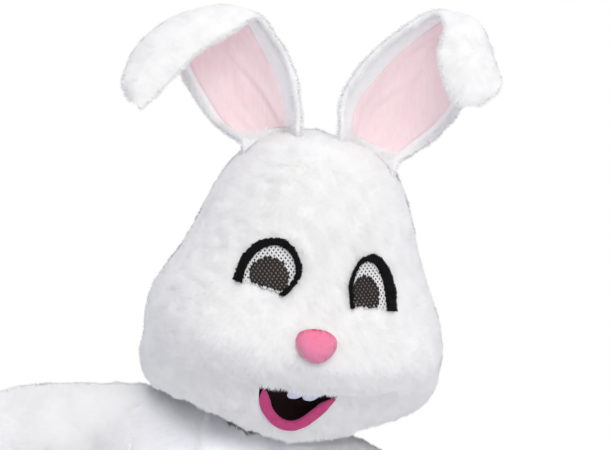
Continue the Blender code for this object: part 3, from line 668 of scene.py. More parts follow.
def pile_group() -> bpy.types.NodeTree:
    """Unevenness of a pile: a broad tone from slow noise, and a fine height from fast noise."""
    nodes = group_tree(
        "pile_unevenness",
        {
            "Place": ("NodeSocketVector", 0.0),
            "Broad": ("NodeSocketFloat", 18.0),
            "Fine": ("NodeSocketFloat", 420.0),
        },
        {"Tone": "NodeSocketFloat", "Height": "NodeSocketFloat"},
    )
    start = nodes.add("NodeGroupInput")
    end = nodes.add("NodeGroupOutput")
    place, broad_scale, fine_scale = start.outputs[0], start.outputs[1], start.outputs[2]
    broad = nodes.noise(place, broad_scale, 3.0)
    fine = nodes.noise(place, fine_scale, 3.0)
    tuft = nodes.noise(place, nodes.math("MULTIPLY", fine_scale, 0.22), 2.0)
    nodes.tree.links.new(broad, end.inputs[0])
    height = nodes.math("ADD", nodes.math("MULTIPLY", fine, 0.4), tuft)
    nodes.tree.links.new(height, end.inputs[1])
    return nodes.tree


def weave_group() -> bpy.types.NodeTree:
    """A plain weave: the height of two crossed sine waves, and a broken streak along the threads."""
    nodes = group_tree(
        "plain_weave",
        {"Place": ("NodeSocketVector", 0.0), "Threads": ("NodeSocketFloat", 900.0)},
        {"Height": "NodeSocketFloat", "Streak": "NodeSocketFloat"},
    )
    start = nodes.add("NodeGroupInput")
    end = nodes.add("NodeGroupOutput")
    parts = nodes.add("ShaderNodeSeparateXYZ", {0: start.outputs[0]})
    across = nodes.math("SINE", nodes.math("MULTIPLY", parts.outputs[0], start.outputs[1]))
    along = nodes.math("SINE", nodes.math("MULTIPLY", parts.outputs[2], start.outputs[1]))
    height = nodes.math("MULTIPLY", across, along)
    stretch = nodes.add("ShaderNodeMapping", {0: start.outputs[0], 3: (1.0, 1.0, 0.12)})
    streak = nodes.add("ShaderNodeTexNoise", {"Vector": stretch.outputs[0], "Scale": 260.0, "Detail": 3.0})
    nodes.tree.links.new(height, end.inputs[0])
    nodes.tree.links.new(streak.outputs[0], end.inputs[1])
    return nodes.tree


@dataclass
class Groups:
    """The node groups that several finishes share.

    Attributes:
        pile: unevenness of a pile.
        weave: a plain weave.
    """

    pile: bpy.types.NodeTree
    weave: bpy.types.NodeTree


def start_material(name: str) -> Tuple[bpy.types.Material, Nodes, bpy.types.Node]:
    """A new node material, its nodes and its Principled shader."""
    made = bpy.data.materials.new(name)
    made.use_nodes = True
    return made, Nodes(made.node_tree), made.node_tree.nodes["Principled BSDF"]


@dataclass(frozen=True)
class PlushFinish:
    """A cut pile: lighter at its tips and darker at its roots and in its hollows, which is painted shade,
    uneven in tone, matt with a soft sheen.

    Attributes:
        name: the material's name.
        tip: colour at the tips.
        root: colour at the roots and, on the cloth, in the bump's hollows; darker than the tip as painted
            shade.
        tinge: colour where the pile is a little worn.
        amount: how much of the tinge shows.
        sheen: weight of the sheen.
        blades: whether it dresses blades, which hold the mark of their tips.
        depth: strength of the bump.
    """

    name: str
    tip: Colour
    root: Colour
    tinge: Colour
    amount: float = 0.35
    sheen: float = 0.3
    blades: bool = False
    depth: float = 0.5

    def build(self, groups: Groups) -> bpy.types.Material:
        """Builds the material."""
        made, nodes, shader = start_material(self.name)
        place = nodes.object_place()
        pile = nodes.add("ShaderNodeGroup", node_tree=groups.pile)
        nodes.tree.links.new(place, pile.inputs[0])
        pile.inputs[1].default_value = 16.0
        pile.inputs[2].default_value = 520.0
        worn = nodes.add("ShaderNodeMapRange", {0: pile.outputs[0], 1: 0.42, 2: 0.72, 3: 0.0, 4: self.amount})
        base = nodes.mix(worn.outputs[0], (*self.tip, 1), (*self.tinge, 1))
        # Painted shade: blades run from the darker root colour at their roots to the tip colour.
        if self.blades:
            mark = nodes.add("ShaderNodeAttribute", attribute_name="tip").outputs["Fac"]
            base = nodes.mix(mark, (*self.root, 1), base)
        else:
            # Painted shade: the cloth takes the darker root colour where the pile's height is low.
            tuft = nodes.add("ShaderNodeMapRange", {0: pile.outputs[1], 1: 0.45, 2: 0.95, 3: 0.0, 4: 1.0})
            base = nodes.mix(tuft.outputs[0], (*self.root, 1), base)
            nodes.bump(shader, self.depth, 2.0 * MM, pile.outputs[1])
        nodes.tree.links.new(base, shader.inputs["Base Color"])
        shader.inputs["Roughness"].default_value = 0.95
        shader.inputs["Specular IOR Level"].default_value = 0.15
        shader.inputs["Sheen Weight"].default_value = self.sheen
        shader.inputs["Sheen Roughness"].default_value = 0.6
        return made


@dataclass(frozen=True)
class ClothFinish:
    """A woven cloth: two close colours along its streaks, the weave as bump, and a sheen.

    Attributes:
        name: the material's name.
        light: the lighter of the two colours.
        dark: the darker of the two, mixed in along the streaks and the slow noise.
        rough: roughness.
        sheen: weight of the sheen.
        threads: how close the threads are.
        depth: strength of the bump.
    """

    name: str
    light: Colour
    dark: Colour
    rough: float = 0.7
    sheen: float = 0.3
    threads: float = 5200.0
    depth: float = 0.25

    def build(self, groups: Groups) -> bpy.types.Material:
        """Builds the material."""
        made, nodes, shader = start_material(self.name)
        place = nodes.object_place()
        weave = nodes.add("ShaderNodeGroup", node_tree=groups.weave)
        nodes.tree.links.new(place, weave.inputs[0])
        weave.inputs[1].default_value = self.threads
        slow = nodes.noise(place, 24.0, 3.0)
        streak = nodes.math("MULTIPLY", weave.outputs[1], 0.5)
        tone = nodes.math("ADD", streak, nodes.math("MULTIPLY", slow, 0.5))
        part = nodes.add("ShaderNodeMapRange", {0: tone, 1: 0.35, 2: 0.65, 3: 0.0, 4: 1.0})
        base = nodes.mix(part.outputs[0], (*self.light, 1), (*self.dark, 1))
        nodes.tree.links.new(base, shader.inputs["Base Color"])
        height = nodes.math("ADD", nodes.math("MULTIPLY", weave.outputs[0], 0.5), weave.outputs[1])
        nodes.bump(shader, self.depth, 0.6 * MM, height)
        shader.inputs["Roughness"].default_value = self.rough
        shader.inputs["Specular IOR Level"].default_value = 0.25
        shader.inputs["Sheen Weight"].default_value = self.sheen
        shader.inputs["Sheen Roughness"].default_value = 0.45
        return made


@dataclass(frozen=True)
class ZincFinish:
    """Cast zinc of the slider: a dull grey metal, uneven in tone, with fine scratches."""

    name: str = "zinc"

    def build(self, groups: Groups) -> bpy.types.Material:
        """Builds the material."""
        made, nodes, shader = start_material(self.name)
        place = nodes.object_place()
        slow = nodes.noise(place, 300.0, 4.0)
        base = nodes.mix(slow, (0.42, 0.42, 0.44, 1), (0.70, 0.70, 0.72, 1))
        nodes.tree.links.new(base, shader.inputs["Base Color"])
        stretch = nodes.add("ShaderNodeMapping", {0: place, 3: (1.0, 1.0, 0.08)})
        scratch = nodes.noise(stretch.outputs[0], 4000.0, 2.0)
        rough = nodes.add("ShaderNodeMapRange", {0: scratch, 1: 0.3, 2: 0.7, 3: 0.28, 4: 0.46})
        nodes.tree.links.new(rough.outputs[0], shader.inputs["Roughness"])
        nodes.bump(shader, 0.2, 0.2 * MM, scratch)
        shader.inputs["Metallic"].default_value = 1.0
        return made


BLACK = (0.006, 0.006, 0.007)


def all_looks() -> Dict[str, bpy.types.Material]:
    """Builds every finish once, by name."""
    groups = Groups(pile_group(), weave_group())
    white = (0.955, 0.955, 0.95)
    # The second colour of each plush triple here and of each PlushFinish below is its root colour: painted
    # shade at the blades' roots and in the cloth's hollows.
    white_pile = ((0.965, 0.965, 0.96), (0.935, 0.935, 0.95), (0.945, 0.945, 0.955))
    deep_pink = ((0.53, 0.058, 0.20), (0.45, 0.046, 0.165), (0.57, 0.075, 0.225))
    felt = ((0.97, 0.33, 0.52), (0.93, 0.27, 0.46), (0.98, 0.37, 0.56))
    fluff = ((0.98, 0.36, 0.54), (0.94, 0.29, 0.47), (0.98, 0.39, 0.57))
    black_root_painted_shade = (0.003, 0.003, 0.004)
    fine, coarse = 9000.0, 2500.0
    finishes = (
        PlushFinish("white_plush_cloth", white, (0.91, 0.91, 0.925), (0.93, 0.93, 0.94)),
        PlushFinish("white_plush_pile", *white_pile, blades=True),
        PlushFinish("black_plush_cloth", BLACK, black_root_painted_shade, (0.008, 0.008, 0.009), sheen=0.03),
        PlushFinish("black_plush_pile", BLACK, black_root_painted_shade, (0.012, 0.012, 0.013), sheen=0.04, blades=True),
        PlushFinish("pink_felt", *felt, sheen=0.25),
        PlushFinish("pink_felt_pile", *fluff, sheen=0.25, blades=True),
        PlushFinish("deep_pink_plush", *deep_pink, sheen=0.12),
        # The teeth are white felt; their darker lavender colour is painted shade, for the shadow under the
        # upper lip.
        PlushFinish("tooth_white", (0.66, 0.70, 0.84), (0.60, 0.64, 0.79), (0.64, 0.68, 0.82), sheen=0.1),
        ClothFinish("pink_satin", (0.975, 0.82, 0.83), (0.965, 0.73, 0.76), 0.62, 0.35, depth=0.15),
        ClothFinish("white_mesh", (0.90, 0.90, 0.88), (0.80, 0.80, 0.80), 0.6, 0.1, fine),
        ClothFinish("black_mesh", (0.030, 0.022, 0.020), (0.012, 0.010, 0.010), 0.7, 0.0, fine),
        # Painted shade: a mid-toned closed sheet behind each pupil, in place of the white net there in
        # shadow.
        ClothFinish("beige_backing", (0.36, 0.30, 0.26), (0.26, 0.22, 0.19), 0.8, 0.0, fine),
        ClothFinish("dark_lining", (0.030, 0.010, 0.010), (0.016, 0.005, 0.005), 0.9, 0.1),
        ClothFinish("pale_foam", (0.62, 0.62, 0.64), (0.52, 0.52, 0.54), 0.95, 0.0, coarse),
        ClothFinish("white_tape", (0.88, 0.88, 0.88), (0.78, 0.78, 0.80), 0.75, 0.2, 7000.0),
        ClothFinish("white_chain", (0.90, 0.90, 0.89), (0.84, 0.84, 0.84), 0.4, 0.0, 3000.0),
        ZincFinish(),
    )
    return {finish.name: finish.build(groups) for finish in finishes}


@dataclass(frozen=True)
class HeadForm:
    """The head's outer surface, in its own axes and in the model's frame.

    The surface is a row of rings from the crown's pole to the rim. A ring is a superellipse with its own
    side, front and back reach, and soft bells stand for the cheeks, the muzzle and the eye sockets.

    Attributes:
        centre: place of the head's own origin.
        roll: tilt about the front to back axis.
        yaw: turn about the upright axis.
        side_seam: angle of the seam between the face and the back.
        crown_seam: share of the crown's seam.
        seam_gap: half the gap left open at the crown's seam, in shares.
        mouth_seam: share of the seam between face and chin.
        mouth_low: share that the chin's edge dips to under the mouth.
        mouth_right: angle from the middle to the mouth's right corner.
        mouth_left: angle from the middle to its left corner.
        mouth_arch: how far the face's edge arches up over the mouth, in shares.
        sway: how far the jaw is pushed to the side.
        rest: how far the rim on the right is let down on the shoulder.
        rings: share, height, side, front, back and drop of each ring, in mm.
    """

    centre: Place = (0.031, -0.005, 0.151)
    roll: float = math.radians(8.4)
    yaw: float = math.radians(11.0)
    side_seam: float = math.radians(86)
    crown_seam: float = 0.29
    seam_gap: float = 0.0006
    mouth_seam: float = 0.896
    mouth_low: float = 0.980
    mouth_right: float = math.radians(20.6)
    mouth_left: float = math.radians(17.0)
    mouth_arch: float = 0.014
    sway: float = -0.013
    rest: float = -1.3
    rings: Tuple[Tuple[float, ...], ...] = (
        (0.00, 212, 0, 0, 0, 0.00),
        (0.10, 206, 46, 45, 47, 0.00),
        (0.20, 190, 86, 82, 88, 0.00),
        (0.30, 157, 115, 110, 118, 0.00),
        (0.40, 112, 136, 130, 138, 0.00),
        (0.50, 66, 151, 143, 152, 0.00),
        (0.58, 28, 168, 151, 161, 0.00),
        (0.66, -10, 187, 161, 167, 0.00),
        (0.74, -47, 196, 176, 169, 0.00),
        (0.82, -86, 196, 181, 164, 0.00),
        (0.87, -86, 196, 171, 157, 0.27),
        (0.91, -86, 194, 152, 149, 0.48),
        (0.95, -86, 189, 139, 139, 0.72),
        (1.00, -86, 174, 122, 126, 1.00),
    )

    def turned(self, ways: Floats) -> Floats:
        """Directions of the head's own axes, turned into the model's frame."""
        cos_yaw, sin_yaw = math.cos(self.yaw), math.sin(self.yaw)
        cos_roll, sin_roll = math.cos(self.roll), math.sin(self.roll)
        x = ways[..., 0] * cos_yaw - ways[..., 1] * sin_yaw
        y = ways[..., 0] * sin_yaw + ways[..., 1] * cos_yaw
        z = ways[..., 2]
        return np.stack([x * cos_roll + z * sin_roll, y, z * cos_roll - x * sin_roll], axis=-1)

    def to_row(self, points: Floats) -> Floats:
        """Points of the head's own axes in the model's frame."""
        return self.turned(points) + np.array(self.centre)

    def to_head(self, points: Floats) -> Floats:
        """Points of the model's frame in the head's own axes."""
        moved = points - np.array(self.centre)
        x = moved[..., 0] * math.cos(self.roll) - moved[..., 2] * math.sin(self.roll)
        z = moved[..., 0] * math.sin(self.roll) + moved[..., 2] * math.cos(self.roll)
        y = moved[..., 1]
        cos, sin = math.cos(self.yaw), math.sin(self.yaw)
        return np.stack([x * cos + y * sin, y * cos - x * sin, z], axis=-1)

    def point(self, angle: Floats, share: Floats) -> Floats:
        """A point of the surface: the ring's reach at the angle, at the ring's height.

        Args:
            angle: nought at the front, growing to the wearer's left.
            share: place from the pole to the rim.

        Returns:
            Points in the head's own axes.
        """
        table = np.array(self.rings).T
        height, side, front, back, drop = (through(table[0], row, share) for row in table[1:])
        cos, sin = np.cos(angle), np.sin(angle)
        degrees = np.degrees(angle)
        ahead = np.maximum(cos, 0) ** 2
        behind = np.maximum(-cos, 0) ** 2
        fall = 64 + 34 * ahead**1.5 - 20 * bump(degrees, 92, 30)
        fall = fall - self.rest * bump(degrees, -92, 30) - 4 * behind
        height = (height - drop * fall) * MM
        side = np.maximum(side, 1e-4) * MM
        depth = np.maximum(np.where(cos > 0, front, back), 1e-4) * MM
        power = 2.0 + 0.35 * ease((share - 0.2) / 0.5)
        reach = (np.abs(sin / side) ** power + np.abs(cos / depth) ** power) ** (-1 / power)
        cheek = bump(np.abs(degrees), 40, 17) * bump(height, -0.064, 0.034)
        muzzle = bump(degrees, 0, 17) * bump(height, -0.085, 0.026)
        socket = bump(np.abs(degrees), 27, 13) * bump(height, 0.026, 0.026)
        reach = reach + cheek * 8 * MM + muzzle * 7 * MM - socket * 4 * MM
        sway = self.sway * ease((-0.1 - height) / 0.06) * np.maximum(cos, 0)
        return np.stack([reach * sin + sway, -reach * cos, height], axis=-1)

    def normal(self, angle: Floats, share: Floats) -> Floats:
        """Outward directions: the cross product of the steps across and down the surface."""
        step = 2e-3
        low = np.maximum(share - step, 2e-3)
        across = self.point(angle + step, share) - self.point(angle - step, share)
        down = self.point(angle, share + step) - self.point(angle, low)
        return unit(np.cross(across, -down))

    def at_front(self, across: Floats, up: Floats) -> Tuple[Floats, Floats]:
        """The surface straight behind front-view places, found by Newton's method from the nearest of a grid.

        Args:
            across: places to the wearer's left.
            up: heights.

        Returns:
            Points and outward directions in the head's own axes.
        """
        across, up = np.broadcast_arrays(np.asarray(across, float), np.asarray(up, float))
        turn, place = np.meshgrid(np.linspace(-1.45, 1.45, 80), np.linspace(0.22, 0.995, 90))
        coarse = self.point(turn, place)
        flat = np.stack([across.ravel(), up.ravel()], axis=-1)
        spots = coarse.reshape(-1, 3)[:, [0, 2]]
        lots = np.array_split(flat, max(1, len(flat) // 400))
        nearest = np.concatenate([((lot[:, None] - spots) ** 2).sum(-1).argmin(axis=1) for lot in lots])
        angle = turn.ravel()[nearest]
        share = place.ravel()[nearest]
        step = 1e-4
        for _ in range(12):
            here = self.point(angle, share)[:, [0, 2]]
            by_angle = (self.point(angle + step, share)[:, [0, 2]] - here) / step
            by_share = (self.point(angle, share + step)[:, [0, 2]] - here) / step
            miss = flat - here
            det = by_angle[:, 0] * by_share[:, 1] - by_angle[:, 1] * by_share[:, 0]
            det = np.where(np.abs(det) < 1e-9, 1e-9, det)
            turn_by = (miss[:, 0] * by_share[:, 1] - miss[:, 1] * by_share[:, 0]) / det
            move_by = (by_angle[:, 0] * miss[:, 1] - by_angle[:, 1] * miss[:, 0]) / det
            angle = np.clip(angle + np.clip(turn_by, -0.1, 0.1), -1.5, 1.5)
            share = np.clip(share + np.clip(move_by, -0.05, 0.05), 0.2, 0.998)
        shape = across.shape
        return self.point(angle, share).reshape(*shape, 3), self.normal(angle, share).reshape(*shape, 3)

    def crown_height(self, points: Floats) -> Floats:
        """Height of the crown over places in the head's own axes, found by halving."""
        angle = np.arctan2(points[..., 0], -points[..., 1])
        reach = np.hypot(points[..., 0], points[..., 1])
        low = np.full_like(reach, 0.005)
        high = np.full_like(reach, 0.5)
        for _ in range(26):
            middle = (low + high) / 2
            found = self.point(angle, middle)
            inside = np.hypot(found[..., 0], found[..., 1]) < reach
            low = np.where(inside, middle, low)
            high = np.where(inside, high, middle)
        return self.point(angle, low)[..., 2]

    def mouth_place(self, angle: Floats) -> Floats:
        """The place between the mouth's corners, from minus one at the right corner to one at the left."""
        place = np.where(angle < 0, angle / self.mouth_right, angle / self.mouth_left)
        return np.clip(place, -1, 1)

    def mouth_angle(self, place: Floats) -> Floats:
        """The angle of a place between the mouth's corners."""
        return np.where(place < 0, place * self.mouth_right, place * self.mouth_left)

    def mouth_dip(self, place: Floats) -> Floats:
        """How far the chin's top edge dips below the seam at a place of the mouth, in shares."""
        return (self.mouth_low - self.mouth_seam) * (1 - np.abs(place) ** 2.4) ** 0.64

    def mouth_rise(self, angle: Floats) -> Floats:
        """How far the face's lower edge arches up over the mouth, in shares."""
        return self.mouth_arch * (1 - self.mouth_place(angle) ** 2)

    def chin_seam(self, angle: Floats) -> Floats:
        """Share of the seam between face and chin."""
        return self.mouth_seam - 0.02 * np.sin(angle) ** 2


@dataclass(frozen=True)
class EyeShape:
    """The arch of one eye in front view, in mm.

    It is half an oval that leans to the middle of the face. The foot nearer the nose is tucked in.

    Attributes:
        side: the wearer's side.
        across: place of its middle to the wearer's left.
        up: height of its middle.
        half_width: half its width, border and all.
        top: height of the arch over the middle.
        foot: height of the foot line there.
        lean: how far the top leans to the face's middle.
        slant: fall of the foot line away from the face's middle.
        outer: width of the border on the outer side.
        inner: width of the border on the nose's side.
        tuck: how far the inner foot is tucked in.
        pupil: place of the pupil's oval across and up, and its half width and half height.
    """

    side: Side
    across: float
    up: float
    half_width: float
    top: float
    foot: float
    lean: float
    slant: float
    outer: float
    inner: float
    tuck: float
    pupil: Tuple[float, float, float, float]

    def arch(self, border: float, grow: float = 0.0, count: int = 61) -> Floats:
        """The arch from its right foot over the top to its left foot.

        Args:
            border: share of the black border that is taken off the oval.
            grow: how much is added all round, in mm.
            count: how many points.

        Returns:
            Front-view places in metres.
        """
        sign = self.side.value
        outer = self.outer * border - grow
        inner = self.inner * border - grow
        half = (2 * self.half_width - outer - inner) / 2
        shift = sign * (inner - outer) / 2
        tall = self.top - self.foot - (outer + inner) / 2
        turn = np.linspace(math.pi, 0, count)
        x = half * np.cos(turn)
        rise = np.sin(turn) ** 0.86
        z = self.foot + tall * rise + sign * x * self.slant * (1 - rise)
        tucked = sign * self.tuck * np.clip(1 - rise / 0.6, 0, 1) ** 2 * (sign * x < 0)
        x = self.across + x + shift + tucked - sign * self.lean * rise
        return np.stack([x, self.up + z], axis=-1) * MM


EYES = (
    EyeShape(Side.RIGHT, -68, 22, 40, 41, -21, 5, 0.12, 9, 6.5, 20, (0.5, -6.0, 25.0, 26.0)),
    EyeShape(Side.LEFT, 66, 22, 32.5, 38, -28, 5, 0.06, 12, 4, 5, (-9.5, -12.0, 20.0, 26.0)),
)


@dataclass
class PlushHead:
    """The head: crown, face, chin and two back panels, each a plush shell with its own pile.

    Attributes:
        shop: the workshop.
        form: the head's surface.
        sink: how deep the cloth lies under the pile's tips.
        cloth: thickness of cloth and foam.
        face_trim: how far the face stays off the chin's seam, in shares.
        chin_trim: how far the chin stays off it.
        last: the newest shell, its largest sides and its area.
    """

    shop: Workshop
    form: HeadForm
    sink: float = 0.0075
    cloth: float = 0.0030
    face_trim: float = 0.0008
    chin_trim: float = 0.0012
    last: Optional[Tuple[bpy.types.Object, Span, float]] = None

    def relief(self, points: Floats) -> Floats:
        """How far the cloth stands out or in: slow waves of plush over foam, and the creases by the mouth.

        Each crease is a bell-shaped valley along a broken line of the front view, with a low swell
        beside it.

        Args:
            points: places in the head's own axes.

        Returns:
            Distances in metres.
        """
        flat = points[..., [0, 2]]
        front = ease((-points[..., 1] - 0.02) / 0.08)
        lumps = waves(points, 0.062, 11) * 1.15 + waves(points, 0.030, 12) * 0.50
        creases = (
            (((-0.062, -0.118), (-0.085, -0.098), (-0.112, -0.078)), 0.0070, -5.6),
            (((-0.075, -0.125), (-0.110, -0.112), (-0.150, -0.085)), 0.0095, -4.0),
            (((0.040, -0.121), (0.070, -0.118), (0.110, -0.106)), 0.0065, -6.5),
            (((0.052, -0.103), (0.085, -0.099)), 0.0100, 1.8),
            (((-0.030, -0.088), (-0.052, -0.072)), 0.0100, -1.3),
            (((0.020, -0.088), (0.042, -0.074)), 0.0100, -1.3),
        )
        total = lumps
        for line, width, height in creases:
            total = total + near_line(flat, line, width) * height * front
        return total * MM

    def comb(self, root: Floats, normal: Floats) -> Floats:
        """The pile lies down and away from the nose, and up against the foot of each eye.

        Args:
            root: places of the blades.
            normal: outward directions there.

        Returns:
            The combed directions.
        """
        local = self.form.to_head(root)
        away = unit(local - np.array([-0.004, -0.12, -0.052])) * np.array([0.45, 0.0, 0.1])
        way = away + np.array([0.0, 0.0, -0.8])
        flat = local[..., [0, 2]]
        for eye in EYES:
            foot = eye.arch(0.5)[[0, -1]]
            near = near_line(flat, [tuple(foot[0]), tuple(foot[1])], 0.011) * (local[..., 1] < 0)
            way = way + near[..., None] * np.array([0.0, 0.0, 1.4])
        return brushed(self.form.turned(way), normal)

    def shell(self, name: str, angle: Floats, share: Floats, **more: bool) -> Cloth:
        """Builds one panel's cloth under the pile and the closed shell of cloth and foam.

        Args:
            name: node that the shell replaces.
            angle: angles of the grid.
            share: shares of the grid.
            more: wrap and pole of the grid.

        Returns:
            The outer side of the cloth.
        """
        spots = self.form.point(angle, share)
        normals = self.form.normal(angle, share)
        if more.get("pole"):
            spots[0] = np.array([0, 0, self.form.rings[0][1] * MM])
            normals[0] = np.array([0, 0, 1.0])
        skin = spots + normals * (self.relief(spots) - self.sink)[..., None]
        cloth = Cloth.from_grid(self.form.to_row(skin), self.form.turned(normals), **more)
        self.finish(name, cloth, cut_of(skin, more.get("wrap", False)))
        return cloth

    def finish(self, name: str, cloth: Cloth, cut: Span) -> None:
        """Makes the shell's mesh, with foam inside, and keeps its sizes for the declaration.

        Args:
            name: node that the shell replaces.
            cloth: the outer side of the cloth.
            cut: the longest run across and down it.
        """
        points, tris = cloth.thickened(self.cloth)
        made = self.shop.piece(name + "_plush", points, tris, "white_plush_cloth")
        made.data.materials.append(self.shop.looks["pale_foam"])
        inside = np.zeros(len(tris), np.int32)
        inside[len(cloth.tris) : 2 * len(cloth.tris)] = 1
        made.data.polygons.foreach_set("material_index", inside)
        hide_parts(name)
        self.last = (made, cut, cloth.area())

    def declare(self, pile: bpy.types.Object) -> None:
        made, cut, area = self.last
        sides, share = flat_cut(cut[0], cut[1], area)
        report_cut(made, sides, share)

    def crown(self) -> None:
        """The round cap between the ears."""
        around = np.linspace(-math.pi, math.pi, 97)[:-1]
        rows = np.linspace(0.0, self.form.crown_seam - self.form.seam_gap, 20)
        angle, share = np.meshgrid(around, rows)
        cloth = self.shell("head_crown", angle, share, wrap=True, pole=True)
        pile = Pile(49000, 0.0100, 0.0011, seed=21)
        self.declare(pile.grow(self.shop, "head_crown_pile", "white_plush_pile", cloth, self.comb))

    def face(self) -> None:
        """The face panel with its two eye openings, whose edges are set on the arches."""
        seam = self.form.side_seam
        columns = graded(-seam, seam, 141, ((-0.42, 0.22, 1.6), (0.42, 0.22, 1.6), (0.0, 0.3, 0.6)))
        low = self.form.chin_seam(columns) - self.face_trim - self.form.mouth_rise(columns)
        part = graded(0, 1, 101, ((0.45, 0.16, 1.4), (0.97, 0.06, 1.2)))[:, None]
        top = self.form.crown_seam + self.form.seam_gap
        share = top + (low - top) * part
        angle = np.broadcast_to(columns, share.shape).copy()
        spots = self.form.point(angle, share)
        flat = spots[..., [0, 2]]
        loops = [eye.arch(1.0, 1.0, 121) for eye in EYES]
        gone = np.zeros(share.shape, bool)
        for loop in loops:
            gone |= inside_loop(flat, loop)
        cell = whole_cells(~gone)
        edge = corners_of(~cell) & ~gone
        normals = self.form.normal(angle, share)
        row, col = np.nonzero(edge)
        for loop in loops:
            ring = np.concatenate([loop, loop[:1]])
            steps = np.linspace(0, 0.9, 10)
            fine = np.concatenate([ring[:-1] + (ring[1:] - ring[:-1]) * step for step in steps])
            apart = np.linalg.norm(flat[row, col][:, None] - fine[None], axis=-1)
            near = apart.min(axis=1) < 0.006
            places = fine[apart.argmin(axis=1)][near]
            moved, ways = self.form.at_front(places[:, 0], places[:, 1])
            spots[row[near], col[near]] = moved
            normals[row[near], col[near]] = ways
        skin = spots + normals * (self.relief(spots) - self.sink)[..., None]
        cloth = Cloth.from_grid(self.form.to_row(skin), self.form.turned(normals), keep=cell)
        self.finish("head_face", cloth, cut_of(skin))
        borders = [eye.arch(0.0, -1.2, 61) for eye in EYES]

        def clear(root: Floats) -> Mask:
            """Roots that lie outside the black borders and the openings."""
            local = self.form.to_head(root)[..., [0, 2]]
            return ~(inside_loop(local, borders[0]) | inside_loop(local, borders[1]))

        pile = Pile(176000, 0.0100, 0.0011, seed=22)
        self.declare(pile.grow(self.shop, "head_face_pile", "white_plush_pile", cloth, self.comb, clear))

    def chin(self) -> None:
        """The jaw under the seam, dipped where the mouth is."""
        form = self.form
        right = np.linspace(-form.side_seam, -form.mouth_right, 36)[:-1]
        dip = form.mouth_angle(-np.cos(np.linspace(0, math.pi, 49)))
        left = np.linspace(form.mouth_left, form.side_seam, 36)[1:]
        columns = np.concatenate([right, dip, left])
        top = form.chin_seam(columns) + self.chin_trim + form.mouth_dip(form.mouth_place(columns))
        part = np.linspace(0, 1, 19)[:, None]
        share = top + (1 - top) * part
        angle = np.broadcast_to(columns, share.shape)
        cloth = self.shell("head_chin", angle, share)
        pile = Pile(49000, 0.0088, 0.0011, seed=23)
        self.declare(pile.grow(self.shop, "head_chin_pile", "white_plush_pile", cloth, self.comb))

    def back(self, side: Side) -> None:
        """One back panel, from the side seam to the seam down the middle."""
        seam = 0.3 * MM / 0.18
        columns = side.value * np.linspace(self.form.side_seam + seam * 1.4, math.pi - seam, 45)
        rows = np.linspace(self.form.crown_seam + self.form.seam_gap, 1, 41)
        angle, share = np.meshgrid(columns, rows)
        name = "head_back_" + side.word
        cloth = self.shell(name, angle, share)
        pile = Pile(36000, 0.0105, 0.0018, seed=24 + side.value)
        self.declare(pile.grow(self.shop, name + "_pile", "white_plush_pile", cloth, self.comb))

    def build(self) -> None:
        """Builds the five panels."""
        self.crown()
        self.face()
        self.chin()
        self.back(Side.LEFT)
        self.back(Side.RIGHT)


